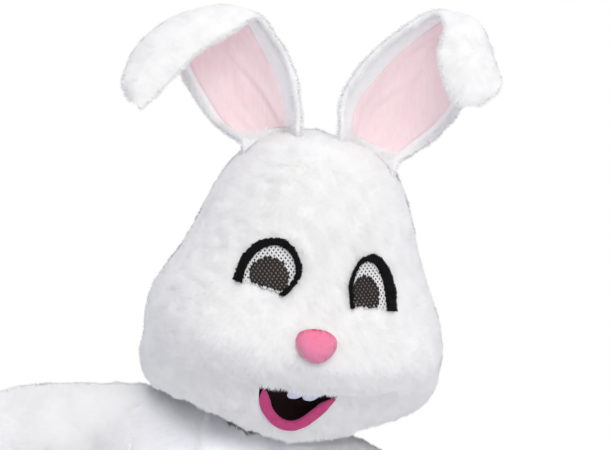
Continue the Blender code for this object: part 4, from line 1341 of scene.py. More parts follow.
@dataclass
class MeshEyes:
    """The eyes: a white open net, a black net pupil with pale specks, and a ragged black plush border. The
    specks are a mid-toned closed sheet behind the pupil, which stands for the white net there in shadow:
    painted shade.

    Attributes:
        shop: the workshop.
        form: the head's surface.
        pitch: distance between the net's holes along its slanted rows.
        hole: side of a hole.
        wall: thickness of the net.
        slants: directions of its two rows of holes, as angles in front view.
    """

    shop: Workshop
    form: HeadForm
    pitch: float = 0.0044
    hole: float = 0.0022
    wall: float = 0.0007
    slants: Tuple[float, float] = (math.radians(-41), math.radians(-115))

    def aim(self, eye: EyeShape) -> Floats:
        """The direction that the eye looks in."""
        normal = self.form.at_front(np.array([eye.across * MM]), np.array([eye.up * MM]))[1][0]
        return unit(normal * np.array([1, 1, 0.5]))

    def net(
        self,
        name: str,
        eye: EyeShape,
        loop: Floats,
        sink: float,
        look: str,
        hole: float,
        less: Optional[Floats] = None,
    ) -> Tuple[bpy.types.Object, Span]:
        """A net inside a loop: a slanted grid, whose every second cell both ways is a hole.

        Args:
            name: name of the piece.
            eye: the eye that it is in.
            loop: the net's outline in front view.
            sink: how deep it lies.
            look: its finish.
            hole: side of a hole, or nought for a closed cloth.
            less: a loop that is left out of it.

        Returns:
            The net and its largest sides.
        """
        middle = np.array([eye.across, eye.up]) * MM
        reach = np.abs(loop - middle).max() * 1.7
        count = int(reach / self.pitch) + 1
        bar = np.array([0.0, self.pitch - max(hole, self.hole)])
        lines = (np.arange(-count, count + 1)[:, None] * self.pitch + bar).ravel()
        first, second = np.meshgrid(lines, lines)
        x = middle[0] + first * math.cos(self.slants[0]) + second * math.cos(self.slants[1])
        z = middle[1] + first * math.sin(self.slants[0]) + second * math.sin(self.slants[1])
        flat = np.stack([x, z], axis=-1)
        odd = np.arange(len(lines) - 1) % 2 == 1
        within = inside_loop(flat, loop)
        cells = whole_cells(within)
        if hole > 0:
            cells &= ~(odd[:, None] & odd[None])
        if less is not None:
            cells &= ~whole_cells(inside_loop(flat, less))
        used = corners_of(cells)
        spots = np.zeros((*flat.shape[:2], 3))
        spots[used] = self.form.at_front(flat[used][:, 0], flat[used][:, 1])[0]
        aim = self.aim(eye)
        ways = np.broadcast_to(aim, spots.shape)
        sunk = spots - ways * sink
        cloth = Cloth.from_grid(self.form.to_row(sunk), self.form.turned(ways), keep=cells)
        points, tris = cloth.thickened(self.wall)
        made = self.shop.piece(name, points, tris, look, smooth=False)
        size = loop.max(axis=0) - loop.min(axis=0)
        return made, (float(size[0]), float(size[1]))

    @staticmethod
    def loop_area(loop: Floats) -> float:
        """Area inside a flat loop, by the shoelace rule."""
        after = np.roll(loop, -1, axis=0)
        return abs(float(np.sum(loop[:, 0] * after[:, 1] - loop[:, 1] * after[:, 0]))) / 2

    def declare(self, made: bpy.types.Object, size: Span, area: float) -> None:
        """Logs the rectangle that a net is cut from, and its flat area.

        Args:
            made: the net.
            size: its largest sides.
            area: its flat area with the holes.
        """
        sides = (math.ceil(size[0] * 1000) / 1000, math.ceil(size[1] * 1000) / 1000)
        report_cut(made, sides, area)

    def pupil_loop(self, eye: EyeShape) -> Floats:
        """The pupil's outline: an oval cut by the eye's foot line, towards the middle of the face."""
        sign = eye.side.value
        turn = full_turn(72)
        over, rise, wide, tall = eye.pupil
        x = eye.across + over + wide * np.cos(turn)
        z = eye.up + rise + tall * np.sin(turn)
        foot = eye.up + eye.foot + sign * (x - eye.across) * eye.slant + 0.5
        return np.stack([x, np.maximum(z, foot)], axis=-1) * MM

    def border(self, eye: EyeShape) -> None:
        """The black border: a low padded strip round the arch, with a short ragged pile."""
        inner = eye.arch(1.0, 0.4, 61)
        outer = eye.arch(0.0, 0.0, 61)
        rng = np.random.default_rng(40 + eye.side.value)
        ragged = np.interp(np.linspace(0, 1, 61), np.linspace(0, 1, 31), rng.uniform(-1.0, 1.0, 31))
        way = unit(outer - inner)
        outer = outer + way * ragged[:, None] * 0.9 * MM
        part = np.linspace(0, 1, 7)[:, None, None]
        flat = inner + (outer - inner) * part
        spots, normals = self.form.at_front(flat[..., 0], flat[..., 1])
        crown = np.sqrt(np.clip(1 - (2 * part[..., 0] - 1) ** 2, 0, 1))
        rise = -0.6 + 2.2 * crown
        top = spots + normals * (rise * MM)[..., None]
        cloth = Cloth.from_grid(self.form.to_row(top), self.form.turned(normals))
        wall = np.broadcast_to((rise + 6.0) * MM, top.shape[:2]).ravel()
        points, tris = cloth.thickened(wall)
        name = "eye_%s_border" % eye.side.word
        made = self.shop.piece(name + "_plush", points, tris, "black_plush_cloth")
        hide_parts(name)

        def comb(root: Floats, normal: Floats) -> Floats:
            """Away from the eye, over the white pile."""
            local = self.form.to_head(root)
            away = local - np.array([eye.across * MM, 0.0, (eye.up - 10) * MM])
            away[..., 1] = 0
            return self.form.turned(unit(away)) * 0.8

        pile = Pile(7500, 0.0034, 0.0010, lift=0.62, seed=50 + eye.side.value, ruffle=0.9, fold=0.006)
        hair = pile.grow(self.shop, name + "_pile", "black_plush_pile", cloth, comb)

    def build(self) -> None:
        """Builds both eyes."""
        for eye in EYES:
            word = eye.side.word
            loop = eye.arch(1.0, 2.0, 61)
            loop[[0, -1]] += np.array([0.0, -0.0005])
            dark_loop = self.pupil_loop(eye)
            less = dark_loop.mean(axis=0) + (dark_loop - dark_loop.mean(axis=0)) * 0.93
            white, size = self.net("eye_%s_net" % word, eye, loop, 0.0030, "white_mesh", self.hole, less)
            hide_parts("eye_%s_screen" % word)
            small = self.hole * 0.55
            dark, dark_size = self.net("eye_%s_pupil" % word, eye, dark_loop, 0.0018, "black_mesh", small)
            # Painted shade: a darker closed sheet stands for the white net in shadow behind the pupil.
            back, back_size = self.net("eye_%s_backing" % word, eye, less, 0.0030, "beige_backing", 0.0)
            self.declare(white, size, self.loop_area(loop) - self.loop_area(less))
            self.declare(dark, dark_size, self.loop_area(dark_loop))
            self.declare(back, back_size, self.loop_area(less))
            self.border(eye)


@dataclass
class NoseAndMouth:
    """The padded felt nose, the flat pink lip, the dark pocket of the mouth and its two soft teeth.

    Attributes:
        shop: the workshop.
        form: the head's surface.
        nose_up: height of the nose in the head's own axes.
        nose_across: its place to the wearer's left.
        nose_half: half its width and half its height.
        lip_half: half the lip's width and half its thickness.
        tooth_length: length of a tooth, in shares of the head's surface.
    """

    shop: Workshop
    form: HeadForm
    nose_up: float = -0.0565
    nose_across: float = -0.0045
    nose_half: Span = (24.5 * MM, 19.5 * MM)
    lip_half: Span = (7.2 * MM, 4.6 * MM)
    tooth_length: float = 0.028

    def nose(self) -> None:
        """A rounded triangle of pink felt, domed over its stuffing, with a short fluff."""
        turn = full_turn(72)
        reach = 1 / (1 + 0.05 * np.cos(3 * (turn - math.pi / 2)))
        wide, tall = self.nose_half
        outline = np.stack([wide * np.cos(turn) * reach, tall * np.sin(turn) * reach], axis=-1)
        outline[:, 0] *= 1 + 0.06 * np.sin(turn)
        outline[:, 1] -= 2 * MM
        part = np.sin(np.linspace(0, math.pi / 2, 20))[:, None, None]
        grid = outline * part
        spots, normals = self.form.at_front(grid[..., 0] + self.nose_across, self.nose_up + grid[..., 1])
        middle = self.form.at_front(np.zeros(1), np.full(1, self.nose_up))[1][0]
        aim = unit(middle * np.array([0, 1, 0.6]))
        dome = np.sqrt(np.clip(1 - part[..., 0] ** 2.4, 0, 1))
        dent = 0.25 * waves(spots, 0.03, 61) * dome
        thick = (1.6 + 16.0 * dome + dent) * MM
        base = spots + normals * 0.6 * MM
        outer = base + aim * thick[..., None]
        ahead = unit(np.broadcast_to(aim, outer.shape) + unit(outer - outer[:1]) * 0.6)
        cloth = Cloth.from_grid(self.form.to_row(outer), self.form.turned(ahead), wrap=True, pole=True)
        points, tris = cloth.backed(self.form.to_row(base - normals * 4.0 * MM).reshape(-1, 3))
        made = self.shop.piece("nose_felt", points, tris, "pink_felt")
        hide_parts("nose")
        flat = unit(facets(cloth.points, cloth.tris))
        smooth = np.zeros_like(cloth.points)
        for place in range(3):
            np.add.at(smooth, cloth.tris[:, place], flat)
        cloth.normals = unit(smooth)
        pile = Pile(10000, 0.0012, 0.0006, lift=0.6, seed=62, ruffle=0.3, fold=0.01)

        def comb(root: Floats, normal: Floats) -> Floats:
            """Straight down."""
            return np.zeros_like(root) + (0, 0, -0.5)

        hair = pile.grow(self.shop, "nose_fluff", "pink_felt_pile", cloth, comb)

    def lip(self) -> None:
        """The lip: a flattened roll of pink plush that follows the chin's dipped edge."""
        place = np.sin(np.linspace(-1, 1, 97) * math.pi / 2)
        turn = self.form.mouth_angle(place)
        share = self.form.chin_seam(turn) + self.form.mouth_dip(place)
        edge = self.form.point(turn, share)
        out = unit(self.form.normal(turn, share))
        along = unit(np.gradient(edge, axis=0))
        inward = unit(np.cross(out, along))
        inward = inward * np.sign(np.sum((edge.mean(axis=0) - edge) * inward, axis=-1, keepdims=True))
        keep = slice(5, -5)
        centre = edge[keep] + inward[keep] * 7.0 * MM - out[keep] * 4.6 * MM
        round_way = full_turn(24)
        flat_cos = np.sign(np.cos(round_way)) * np.abs(np.cos(round_way)) ** 0.75
        taper = np.clip(np.sin(np.linspace(0.16, math.pi - 0.16, len(centre))) * 2.2, 0.35, 1)[:, None]
        ring = (
            centre[:, None]
            + inward[keep][:, None] * (self.lip_half[0] * taper * flat_cos)[..., None]
            + out[keep][:, None] * (self.lip_half[1] * taper * np.sin(round_way))[..., None]
        )
        away = unit(ring - centre[:, None])
        ring = ring + away * (waves(ring, 0.018, 71) * 0.25 * MM)[..., None]
        first = np.broadcast_to(ring[:1].mean(axis=1, keepdims=True), ring[:1].shape)
        last = np.broadcast_to(ring[-1:].mean(axis=1, keepdims=True), ring[-1:].shape)
        grid = np.concatenate([first, ring, last])
        ways = np.concatenate([away[:1], away, away[-1:]])
        cloth = Cloth.from_grid(self.form.to_row(grid), self.form.turned(ways), wrap=True)
        points, tris = merged(cloth.points, cloth.tris)
        made = self.shop.piece("lip_plush", points, tris, "deep_pink_plush")
        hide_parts("lip")

    def pocket(self) -> None:
        """The dark lining of the mouth: a shallow bowl behind the opening."""
        turn = full_turn(72)
        part = np.linspace(0, 1, 24)[:, None]
        wide = (self.form.sway / MM * 0.7 + 60 * part * np.cos(turn)) * MM
        tall = (-145 + 31 * part * np.sin(turn)) * MM
        spots, normals = self.form.at_front(wide, tall)
        bowl = 26 * MM * np.cos(part * math.pi / 2)
        clear = (0.8 + 2.4 * part * np.maximum(np.sin(turn), 0)) * MM
        crease = 0.6 * MM * np.sin(turn * 9 + 1.2 * np.sin(turn * 2)) * part * (1 - part) * 3
        outer = spots - normals * (11 * MM + clear + np.abs(crease))[..., None] + BACK_WAY * bowl[..., None]
        cloth = Cloth.from_grid(self.form.to_row(outer), self.form.turned(normals), wrap=True, pole=True)
        points, tris = cloth.thickened(1.2 * MM)
        made = self.shop.piece("mouth_lining_cloth", points, tris, "dark_lining")
        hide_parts("mouth_lining")
        sides = (0.15, 0.11)
        area = round(min(cloth.area(), sides[0] * sides[1]), 5)
        report_cut(made, sides, area)

    def tooth(self, side: Side) -> None:
        """One soft tooth: a small padded square with round corners, hung from the upper lip."""
        sign = side.value
        columns = sign * np.radians(np.linspace(0.35, 7.6, 17))
        part = np.linspace(0, 1, 17)[:, None]
        sides = np.abs(np.linspace(-1, 1, 17))
        top = self.form.chin_seam(columns) + 0.0001 - self.form.mouth_rise(columns)
        share = top + self.tooth_length * part * (1 - 0.22 * sides**3)
        angle = columns * (1 - 0.10 * part)
        spots = self.form.point(angle, share)
        normals = self.form.normal(angle, share)
        crown = np.clip(1 - sides**4, 0, 1) * np.clip(1 - np.abs(2 * part - 1) ** 6, 0, 1)
        outer = spots + normals * ((crown * 1.2 - 3.6 - 3 * part) * MM)[..., None]
        cloth = Cloth.from_grid(self.form.to_row(outer), self.form.turned(normals))
        wall = np.broadcast_to((1.2 + crown * 2.2) * MM, outer.shape[:2]).ravel()
        points, tris = cloth.thickened(wall)
        # Its finish is white felt coloured darker and lavender: painted shade.
        made = self.shop.piece("tooth_%s_felt" % side.word, points, tris, "tooth_white")
        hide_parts("tooth_" + side.word)

    def build(self) -> None:
        """Builds the nose and the mouth."""
        self.nose()
        self.lip()
        self.pocket()
        self.tooth(Side.RIGHT)
        self.tooth(Side.LEFT)


def merged(points: Floats, tris: Whole) -> Shell:
    """Points closer than a micrometre made one, and the triangles that fell flat dropped."""
    near = np.round(points * 1e6).astype(np.int64)
    _, first, index = np.unique(near, axis=0, return_index=True, return_inverse=True)
    tris = index.reshape(-1)[tris]
    whole = (tris[:, 0] != tris[:, 1]) & (tris[:, 1] != tris[:, 2]) & (tris[:, 0] != tris[:, 2])
    return points[first], tris[whole]


@dataclass(frozen=True)
class EarShape:
    """One ear from the base, over the fold, to the tip.

    Attributes:
        side: the wearer's side.
        rows: a place of the inner edge, a place of the outer edge and the cup's depth, in mm.
    """

    side: Side
    rows: Tuple[Tuple[float, ...], ...]

    def surface(self, fine: int = 161, wide: int = 61) -> Tuple[Floats, Floats]:
        """The ear's middle surface and the directions its lined front faces.

        The surface lies between the two edge curves and bellies back between them as a parabola of the
        row's cup.

        Args:
            fine: how many rows.
            wide: how many columns.

        Returns:
            Points and directions, rows by columns.
        """
        table = np.array(self.rows, float) * MM
        inner, outer, cup = table[:, 0:3], table[:, 3:6], table[:, 6]
        middle = (inner + outer) / 2
        length = share_along(middle)
        at = np.linspace(0, 1, fine)
        edge_in = curve(length, inner, at)
        edge_out = curve(length, outer, at)
        depth = through(length, cup, at)
        place = np.linspace(0, 1, wide)
        flat = edge_in[:, None] + (edge_out - edge_in)[:, None] * place[None, :, None]
        along = unit(np.gradient(flat, axis=0))
        front = unit(np.cross(along, unit(edge_out - edge_in)[:, None])) * -self.side.value
        grid = flat - front * (4 * place * (1 - place))[None, :, None] * depth[:, None, None]
        along = unit(np.gradient(grid, axis=0))
        across = unit(np.gradient(grid, axis=1))
        return grid, unit(np.cross(along, across)) * -self.side.value


EARS = (
    EarShape(
        Side.RIGHT,
        (
            (30, -62, 347, -37, -46, 344, 30),
            (30, -58, 389, -74, -30, 366, 30),
            (21, -52, 435, -98, -20, 398, 28),
            (3, -52, 472, -121, -15, 440, 26),
            (-24, -63, 502, -130, -22, 474, 24),
            (-54, -88, 483, -139, -48, 487, 20),
            (-95, -108, 457, -163, -75, 471, 15),
            (-131, -124, 419, -180, -100, 439, 11),
            (-155, -134, 393, -185, -122, 409, 6),
            (-166, -138, 382, -175, -134, 391, 2),
        ),
    ),
    EarShape(
        Side.LEFT,
        (
            (85, -60, 344, 155, -45, 316, 28),
            (90, -56, 402, 184, -22, 336, 30),
            (110, -54, 435, 211, -12, 355, 30),
            (151, -52, 476, 241, -8, 392, 28),
            (210, -64, 505, 263, -22, 446, 24),
            (219, -90, 485, 267, -52, 470, 20),
            (210, -102, 454, 275, -82, 443, 15),
            (215, -112, 424, 282, -104, 413, 11),
            (226, -120, 395, 271, -116, 398, 6),
            (236, -122, 386, 252, -121, 387, 2),
        ),
    ),
)


@dataclass
class LinedEars:
    """The two floppy ears: a padded plush outer with its pile, and a satin lining with soft creases.

    Attributes:
        shop: the workshop.
        form: the head's surface, which the ears stand on.
        half: half the thickness of an outer's padding.
        places: where the lining starts and ends across the ear, as shares.
        rows: where it starts and ends along the ear, as shares.
    """

    shop: Workshop
    form: HeadForm
    half: float = 0.0024
    places: Span = (0.22, 0.92)
    rows: Span = (0.045, 0.90)

    def stood(self, grid: Floats) -> Floats:
        """The first rows kept above the crown by a smooth rise, and the base sunk into the crown's pile.

        Args:
            grid: one side of the ear, from the base.

        Returns:
            The grid with its foot on the crown.
        """
        fine = grid.shape[0] - 1
        rows = int(fine * 0.30)
        local = self.form.to_head(grid[:rows])
        rise = (1.15 + 2.2 * 21 * np.arange(rows) / fine) * MM
        over = self.form.crown_height(local) + rise[:, None]
        local[..., 2] = np.where(np.arange(rows)[:, None] == 0, over, np.maximum(local[..., 2], over))
        local[0, :, 2] -= 6.5 * MM
        grid = grid.copy()
        grid[:rows] = self.form.to_row(local)
        return grid

    def creases(self, shape: Tuple[int, int], side: Side) -> Floats:
        """Soft creases of the lining: bell-shaped ridges along slanted lines, each with a valley beside it.

        Args:
            shape: how many rows and columns.
            side: the wearer's side, which mirrors the lines.

        Returns:
            Heights in metres.
        """
        row, col = np.meshgrid(np.linspace(0, 1, shape[0]), np.linspace(0, 1, shape[1]), indexing="ij")
        total = np.zeros(shape)
        lines = (
            (0.12, 0.30, 0.50, 0.62, 2.6),
            (0.20, 0.62, 0.55, 0.40, 2.0),
            (0.30, 0.15, 0.52, 0.30, 1.8),
            (0.05, 0.70, 0.30, 0.80, 1.6),
            (0.40, 0.78, 0.58, 0.66, 1.6),
        )
        for start_row, start_col, end_row, end_col, height in lines:
            if side is Side.LEFT:
                start_col, end_col = 1 - start_col, 1 - end_col
            flat = np.stack([row, col], axis=-1)
            ridge = [(start_row, start_col), (end_row, end_col)]
            valley = [(start_row, start_col + 0.06), (end_row, end_col + 0.06)]
            total = total + near_line(flat, ridge, 0.035) * height
            total = total - near_line(flat, valley, 0.03) * height * 0.6
        return total * MM

    def ear(self, shape: EarShape) -> None:
        """Builds one ear's plush outer, its pile and its lining."""
        word = shape.side.word
        middle, front = shape.surface()
        fine, wide = middle.shape[:2]
        pick_rows = np.unique(np.linspace(0, fine - 1, 81).astype(int))
        pick_cols = np.unique(np.linspace(0, wide - 1, 31).astype(int))
        take = np.ix_(pick_rows, pick_cols)
        lumps = waves(middle, 0.05, 81 + shape.side.value) * 0.7 * MM
        back = self.stood(middle - front * (self.half + lumps)[..., None])[take]
        face = self.stood(middle + front * self.half)[take]
        ways = -front[take]
        rows, cols = back.shape[:2]
        around = np.concatenate([back, face[:, ::-1]], axis=1)
        normals = np.concatenate([ways, -ways[:, ::-1]], axis=1)
        tube = Cloth.from_grid(around, normals, wrap=True)
        index = np.arange(rows * 2 * cols).reshape(rows, 2 * cols)
        caps: List[Whole] = []
        for row, flip in ((0, True), (rows - 1, False)):
            a, b = index[row, : cols - 1], index[row, 1:cols]
            d, c = index[row, ::-1][: cols - 1], index[row, ::-1][1:cols]
            cap = np.concatenate([np.stack([a, b, c], -1), np.stack([a, c, d], -1)])
            caps.append(cap if flip else cap[:, ::-1])
        tris = np.concatenate([tube.tris, *caps])
        corner = tube.points[tris]
        volume = np.sum(np.cross(corner[:, 0], corner[:, 1]) * corner[:, 2]) / 6
        if volume < 0:
            tris = tris[:, ::-1]
        outer = self.shop.piece("ear_%s_plush" % word, tube.points, tris, "white_plush_cloth")
        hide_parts("ear_%s_outer" % word)

        low = int(rows * self.rows[0]) + 1
        high = int(rows * self.rows[1])
        left = int(cols * self.places[0])
        right = int(cols * self.places[1]) + 1
        span = (slice(low, high), slice(left, right))
        lift = self.creases((rows, cols), shape.side)[span]
        down, over = np.arange(high - low), np.arange(right - left) * 2
        edge = np.minimum(np.minimum.outer(down, over), np.minimum.outer(down[::-1], over[::-1]))
        tuck = ease(edge / 4.0)
        forward = front[take]
        rise = (0.5 + 1.5 * tuck) * MM + np.maximum(lift * tuck, -0.8 * MM)
        satin = face[span] + forward[span] * rise[..., None]
        lining = Cloth.from_grid(satin, forward[span])
        points, faces = lining.thickened(0.5 * MM)
        made = self.shop.piece("ear_%s_satin" % word, points, faces, "pink_satin")
        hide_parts("ear_%s_lining" % word)
        across, along = cut_of(satin)
        sides, area = flat_cut(across, along, lining.area())
        report_cut(made, sides, area)

        spine = middle[::4, wide // 2]

        def comb(root: Floats, normal: Floats) -> Floats:
            """The pile runs down, out to the ear's edges, and over the fold's ridge."""
            near = np.linalg.norm(root[:, None] - spine[None], axis=-1).argmin(axis=1)
            out = unit(root - spine[near]) * np.array([0.5, 0.0, 0.2])
            return brushed(out + np.array([0.0, 0.0, -0.6]), normal)

        part = np.arange(len(tube.points)) % (2 * cols)
        row_of = np.arange(len(tube.points)) // (2 * cols)
        face_col = 2 * cols - 1 - part
        rim = (face_col >= 1) & (face_col < cols - 1) & (row_of > 3)
        lined = (part >= cols) & rim & (row_of < int(rows * 0.95))
        bare = lined[tube.tris].all(axis=1)
        grown = Cloth(tube.points, tube.normals, tube.tris[~bare])
        edge_normals = normals.copy()
        for col in (0, cols - 1):
            out = unit(back[:, col] - back[:, 1 if col == 0 else cols - 2])
            edge_normals[:, col] = unit(edge_normals[:, col] + out)
            twin = 2 * cols - 1 - col
            edge_normals[:, twin] = unit(edge_normals[:, twin] + out)
        grown.normals = edge_normals.reshape(-1, 3)
        pile = Pile(50000, 0.0078, 0.0011, lift=0.42, seed=85 + shape.side.value)
        hair = pile.grow(self.shop, "ear_%s_pile" % word, "white_plush_pile", grown, comb)

    def build(self) -> None:
        """Builds both ears."""
        for shape in EARS:
            self.ear(shape)


CHEST = -0.230  # height of the first ring, at the front


@dataclass(frozen=True)
class SuitForm:
    """The suit's outer surface: four quarters from the shoulder to the ankle.

    Below the underarm a quarter is a part of an oval ring whose sizes run down a table, which forks into
    the legs between hip and crotch. Above it, a cubic joins the chest to the neckline and shoulder.

    Attributes:
        wall: thickness of a panel with its pile.
        armhole: share at which the armhole ends.
        neck: how far across the neckline runs.
        hip: height where the legs start to fork.
        crotch: height of the crotch.
        hem: height of the hems.
        zip_half: half the opening between the back panels.
        zip_end: height of the zip's lower end.
        zip_top: height of its upper end.
        rings: height, middle, half width, front and back depth of each ring, in mm.
        shoulders: right and left shoulder point.
        necks: right and left side of the neck.
        middles: front and back of the neck.
        underarms: right and left underarm.
    """

    wall: float = 0.007
    armhole: float = 0.17
    neck: float = 0.45
    hip: float = -0.575
    crotch: float = -0.680
    hem: float = -1.340
    zip_half: float = 0.007
    zip_end: float = -0.500
    zip_top: float = -0.018
    rings: Tuple[Tuple[float, ...], ...] = (
        (-230, 0, 195, 132, 124),
        (-330, 0, 188, 137, 116),
        (-430, 0, 183, 136, 112),
        (-520, 0, 197, 136, 130),
        (-575, 0, 208, 136, 139),
        (-680, 108, 107, 122, 126),
        (-760, 111, 101, 110, 113),
        (-880, 117, 92, 99, 101),
        (-1020, 125, 84, 90, 91),
        (-1160, 132, 79, 84, 84),
        (-1280, 137, 77, 81, 81),
        (-1340, 139, 78, 81, 81),
    )
    shoulders: Tuple[Place, ...] = ((-0.168, 0.0, 0.028), (0.184, 0.0, -0.083))
    necks: Tuple[Place, ...] = ((-0.084, 0.0, 0.000), (0.084, 0.0, -0.029))
    middles: Tuple[Place, ...] = ((0.0, -0.086, -0.036), (0.0, 0.074, -0.014))
    underarms: Tuple[Place, ...] = ((-0.186, 0.0, -0.152), (0.195, 0.0, -0.225))

    @staticmethod
    def pick(pair: Sequence[Place], sign: int) -> Floats:
        """The first of a pair for a negative sign, and the second for a positive one."""
        return np.array(pair[0 if sign < 0 else 1])

    def below(self, side: Side, face: Face, across: Floats, share: Floats) -> Floats:
        """A point below the underarm; across runs from the middle or inseam edge to the side seam."""
        level = CHEST + (self.hem - CHEST) * np.clip((share - self.armhole) / (1 - self.armhole), 0, 1)
        table = np.array(self.rings).T * MM
        middle, half, front, back = (through(-table[0], row, -level) for row in table[1:])
        depth = front if face is Face.FRONT else back
        fork = 0.5 * ease((self.hip - level) / (self.hip - self.crotch))
        torso = level > self.crotch
        reach = middle + half
        middle = np.where(torso, reach * fork, middle)
        half = np.where(torso, reach * (1 - fork), half)
        cos_start = np.where(torso, -fork / (1 - fork), -1.0)
        angle = np.arccos(np.clip(cos_start, -1, 1)) * (1 - across)
        power = 0.94
        x = middle + half * np.sign(np.cos(angle)) * np.abs(np.cos(angle)) ** power
        y = face.value * depth * np.abs(np.sin(angle)) ** power
        x = np.where((across <= 0) & torso, 0.0, x)
        return np.stack([side.value * x, y, level], axis=-1)

    def top(self, side: Side, face: Face, across: Floats) -> Floats:
        """The neckline and the shoulder seam of a quarter."""
        neck = self.pick(self.necks, side.value)
        tip = self.pick(self.shoulders, side.value)
        middle = self.pick(self.middles, face.value)
        turn = np.clip(across / self.neck, 0, 1) * math.pi / 2
        rise = neck[2] + (middle[2] - neck[2]) * np.abs(np.cos(turn)) ** 1.4
        curved = np.stack([neck[0] * np.sin(turn), middle[1] * np.cos(turn), rise], axis=-1)
        part = np.clip((across - self.neck) / (1 - self.neck), 0, 1)[..., None]
        return np.where((across < self.neck)[..., None], curved, neck + (tip - neck) * part)

    def point(self, side: Side, face: Face, across: Floats, share: Floats) -> Floats:
        """The outer surface on one quarter; share runs from the neck or shoulder to the hem."""
        across, share = np.broadcast_arrays(np.asarray(across, float), np.asarray(share, float))
        low = self.below(side, face, np.clip(across, 0, 1), np.maximum(share, self.armhole))
        part = np.clip(share / self.armhole, 0, 1)
        chest = self.below(side, face, np.clip(across, 0, 1), np.full_like(share, self.armhole))
        under = self.pick(self.underarms, side.value)
        lift = (under[2] - CHEST) * ease((across - 0.35) / 0.65)
        chest[..., 2] += lift
        low[..., 2] += lift * ease(1 - (share - self.armhole) / 0.16)
        top = self.top(side, face, across)
        shoulder = ease((across - 0.10) / 0.36)[..., None]
        span = np.linalg.norm(top - chest, axis=-1, keepdims=True)
        sign = face.value
        over = np.array([0.0, -sign * 1.0, 0.0])
        rise = unit(np.array([0.0, -sign * 0.80, 0.60]))
        leave = unit(UP + np.array([0, sign * 0.55, 0]) * ease((across - 0.7) / 0.3)[..., None])
        arrive = unit(rise * (1 - shoulder) + over * shoulder)
        part = part[..., None]
        rest = 1 - part
        second = top - arrive * span * 0.36
        third = chest + leave * span * 0.36
        high = top * rest**3 + 3 * second * rest**2 * part + 3 * third * rest * part**2 + chest * part**3
        return np.where((share < self.armhole)[..., None], high, low)

    def normal(self, side: Side, face: Face, across: Floats, share: Floats) -> Floats:
        """Outward directions, square to the seams where two quarters meet."""
        across, share = np.broadcast_arrays(np.asarray(across, float), np.asarray(share, float))
        step = 1.5e-3
        wide = self.point(side, face, np.minimum(across + step, 1), share)
        wide = wide - self.point(side, face, np.maximum(across - step, 0), share)
        tall = self.point(side, face, across, np.maximum(share - step, 0))
        tall = tall - self.point(side, face, across, np.minimum(share + step, 1))
        normal = unit(np.cross(wide, tall)) * side.value * -face.value
        torso = self.point(side, face, across, share)[..., 2] > self.hip
        flat = normal.copy()
        flat[..., 0] = 0
        square = ((across <= 0.002) & torso) | ((across >= 0.998) & (share <= self.armhole))
        return np.where(square[..., None], unit(flat), normal)

    def folds(self, points: Floats) -> Floats:
        """The largest soft folds at the waist, knees and ankles, in metres."""
        x, y, z = points[..., 0], points[..., 1], points[..., 2]
        turn = np.arctan2(y, np.abs(x) - 0.12 * ease((-0.6 - z) / 0.1))
        waist = 3.0 * np.sin(z * 62 + 1.6 * np.sin(turn * 2)) * bump(z, -0.44, 0.12)
        knee = 3.0 * np.sin(z * 85 + 1.3 * np.sin(turn)) * bump(z, -0.98, 0.10)
        ankle = 4.0 * np.sin(z * 105 + 0.9 * np.sin(turn + 1)) * bump(z, -1.25, 0.075)
        return (waist + knee + ankle) * MM

    def creases(self, points: Floats) -> Floats:
        """Smaller creases that the solids leave out: slanted pulls at the crotch, hips, chest and hems."""
        x, y, z = points[..., 0], points[..., 1], points[..., 2]
        slant = np.abs(x) * 1.4
        crotch = 2.2 * np.sin((z + slant) * 95 + 0.8 * np.sin(x * 30)) * bump(z, -0.66, 0.08)
        crotch = crotch * bump(np.abs(x), 0.08, 0.07)
        seat = 1.6 * np.sin((z - slant) * 70) * bump(z, -0.56, 0.07) * bump(np.abs(x), 0.10, 0.08)
        chest = 1.5 * np.sin((z + 0.6 * x) * 60 + 1.5 * np.sin(x * 18)) * bump(z, -0.22, 0.12)
        calf = 1.6 * np.sin(z * 130 + 2.0 * np.sin(x * 22 + y * 25)) * bump(z, -1.12, 0.12)
        hem = -1.8 * bump(z, self.hem + 0.030, 0.004)
        soft = waves(points, 0.11, 91) * 1.3 + waves(points, 0.05, 92) * 0.5
        return (crotch + seat + chest + calf + hem + soft) * MM

    def zip_open(self, level: Floats) -> Floats:
        """Half the opening between the back panels at a level."""
        return 0.2 * MM + (self.zip_half - 0.2 * MM) * ease((level - self.zip_end) / 0.02)

    def zip_line(self, level: Floats) -> Floats:
        """Depth of the centre-back line at heights."""
        shares = np.linspace(0, 0.62, 500)
        line = self.point(Side.LEFT, Face.BACK, np.zeros_like(shares), shares)
        return np.interp(-level, -line[:, 2], line[:, 1])


RIGHT_ARM = (
    (-176, 0, -62, 90, 76),
    (-215, 0, -60, 89, 80),
    (-290, 0, -58, 86, 82),
    (-380, -2, -62, 78, 76),
    (-460, -6, -68, 71, 71),
    (-560, -26, -84, 65, 66),
    (-640, -48, -100, 60, 61),
    (-690, -62, -110, 58, 58),
)
LEFT_ARM = (
    (190, 0, -154, 71, 70),
    (210, 0, -156, 72, 71),
    (232, 0, -164, 73, 72),
    (253, -1, -184, 74, 73),
    (270, -2, -222, 74, 74),
    (284, -3, -280, 73, 74),
    (298, -6, -350, 70, 71),
    (313, -12, -440, 66, 67),
    (326, -34, -550, 60, 61),
    (334, -56, -640, 57, 57),
)


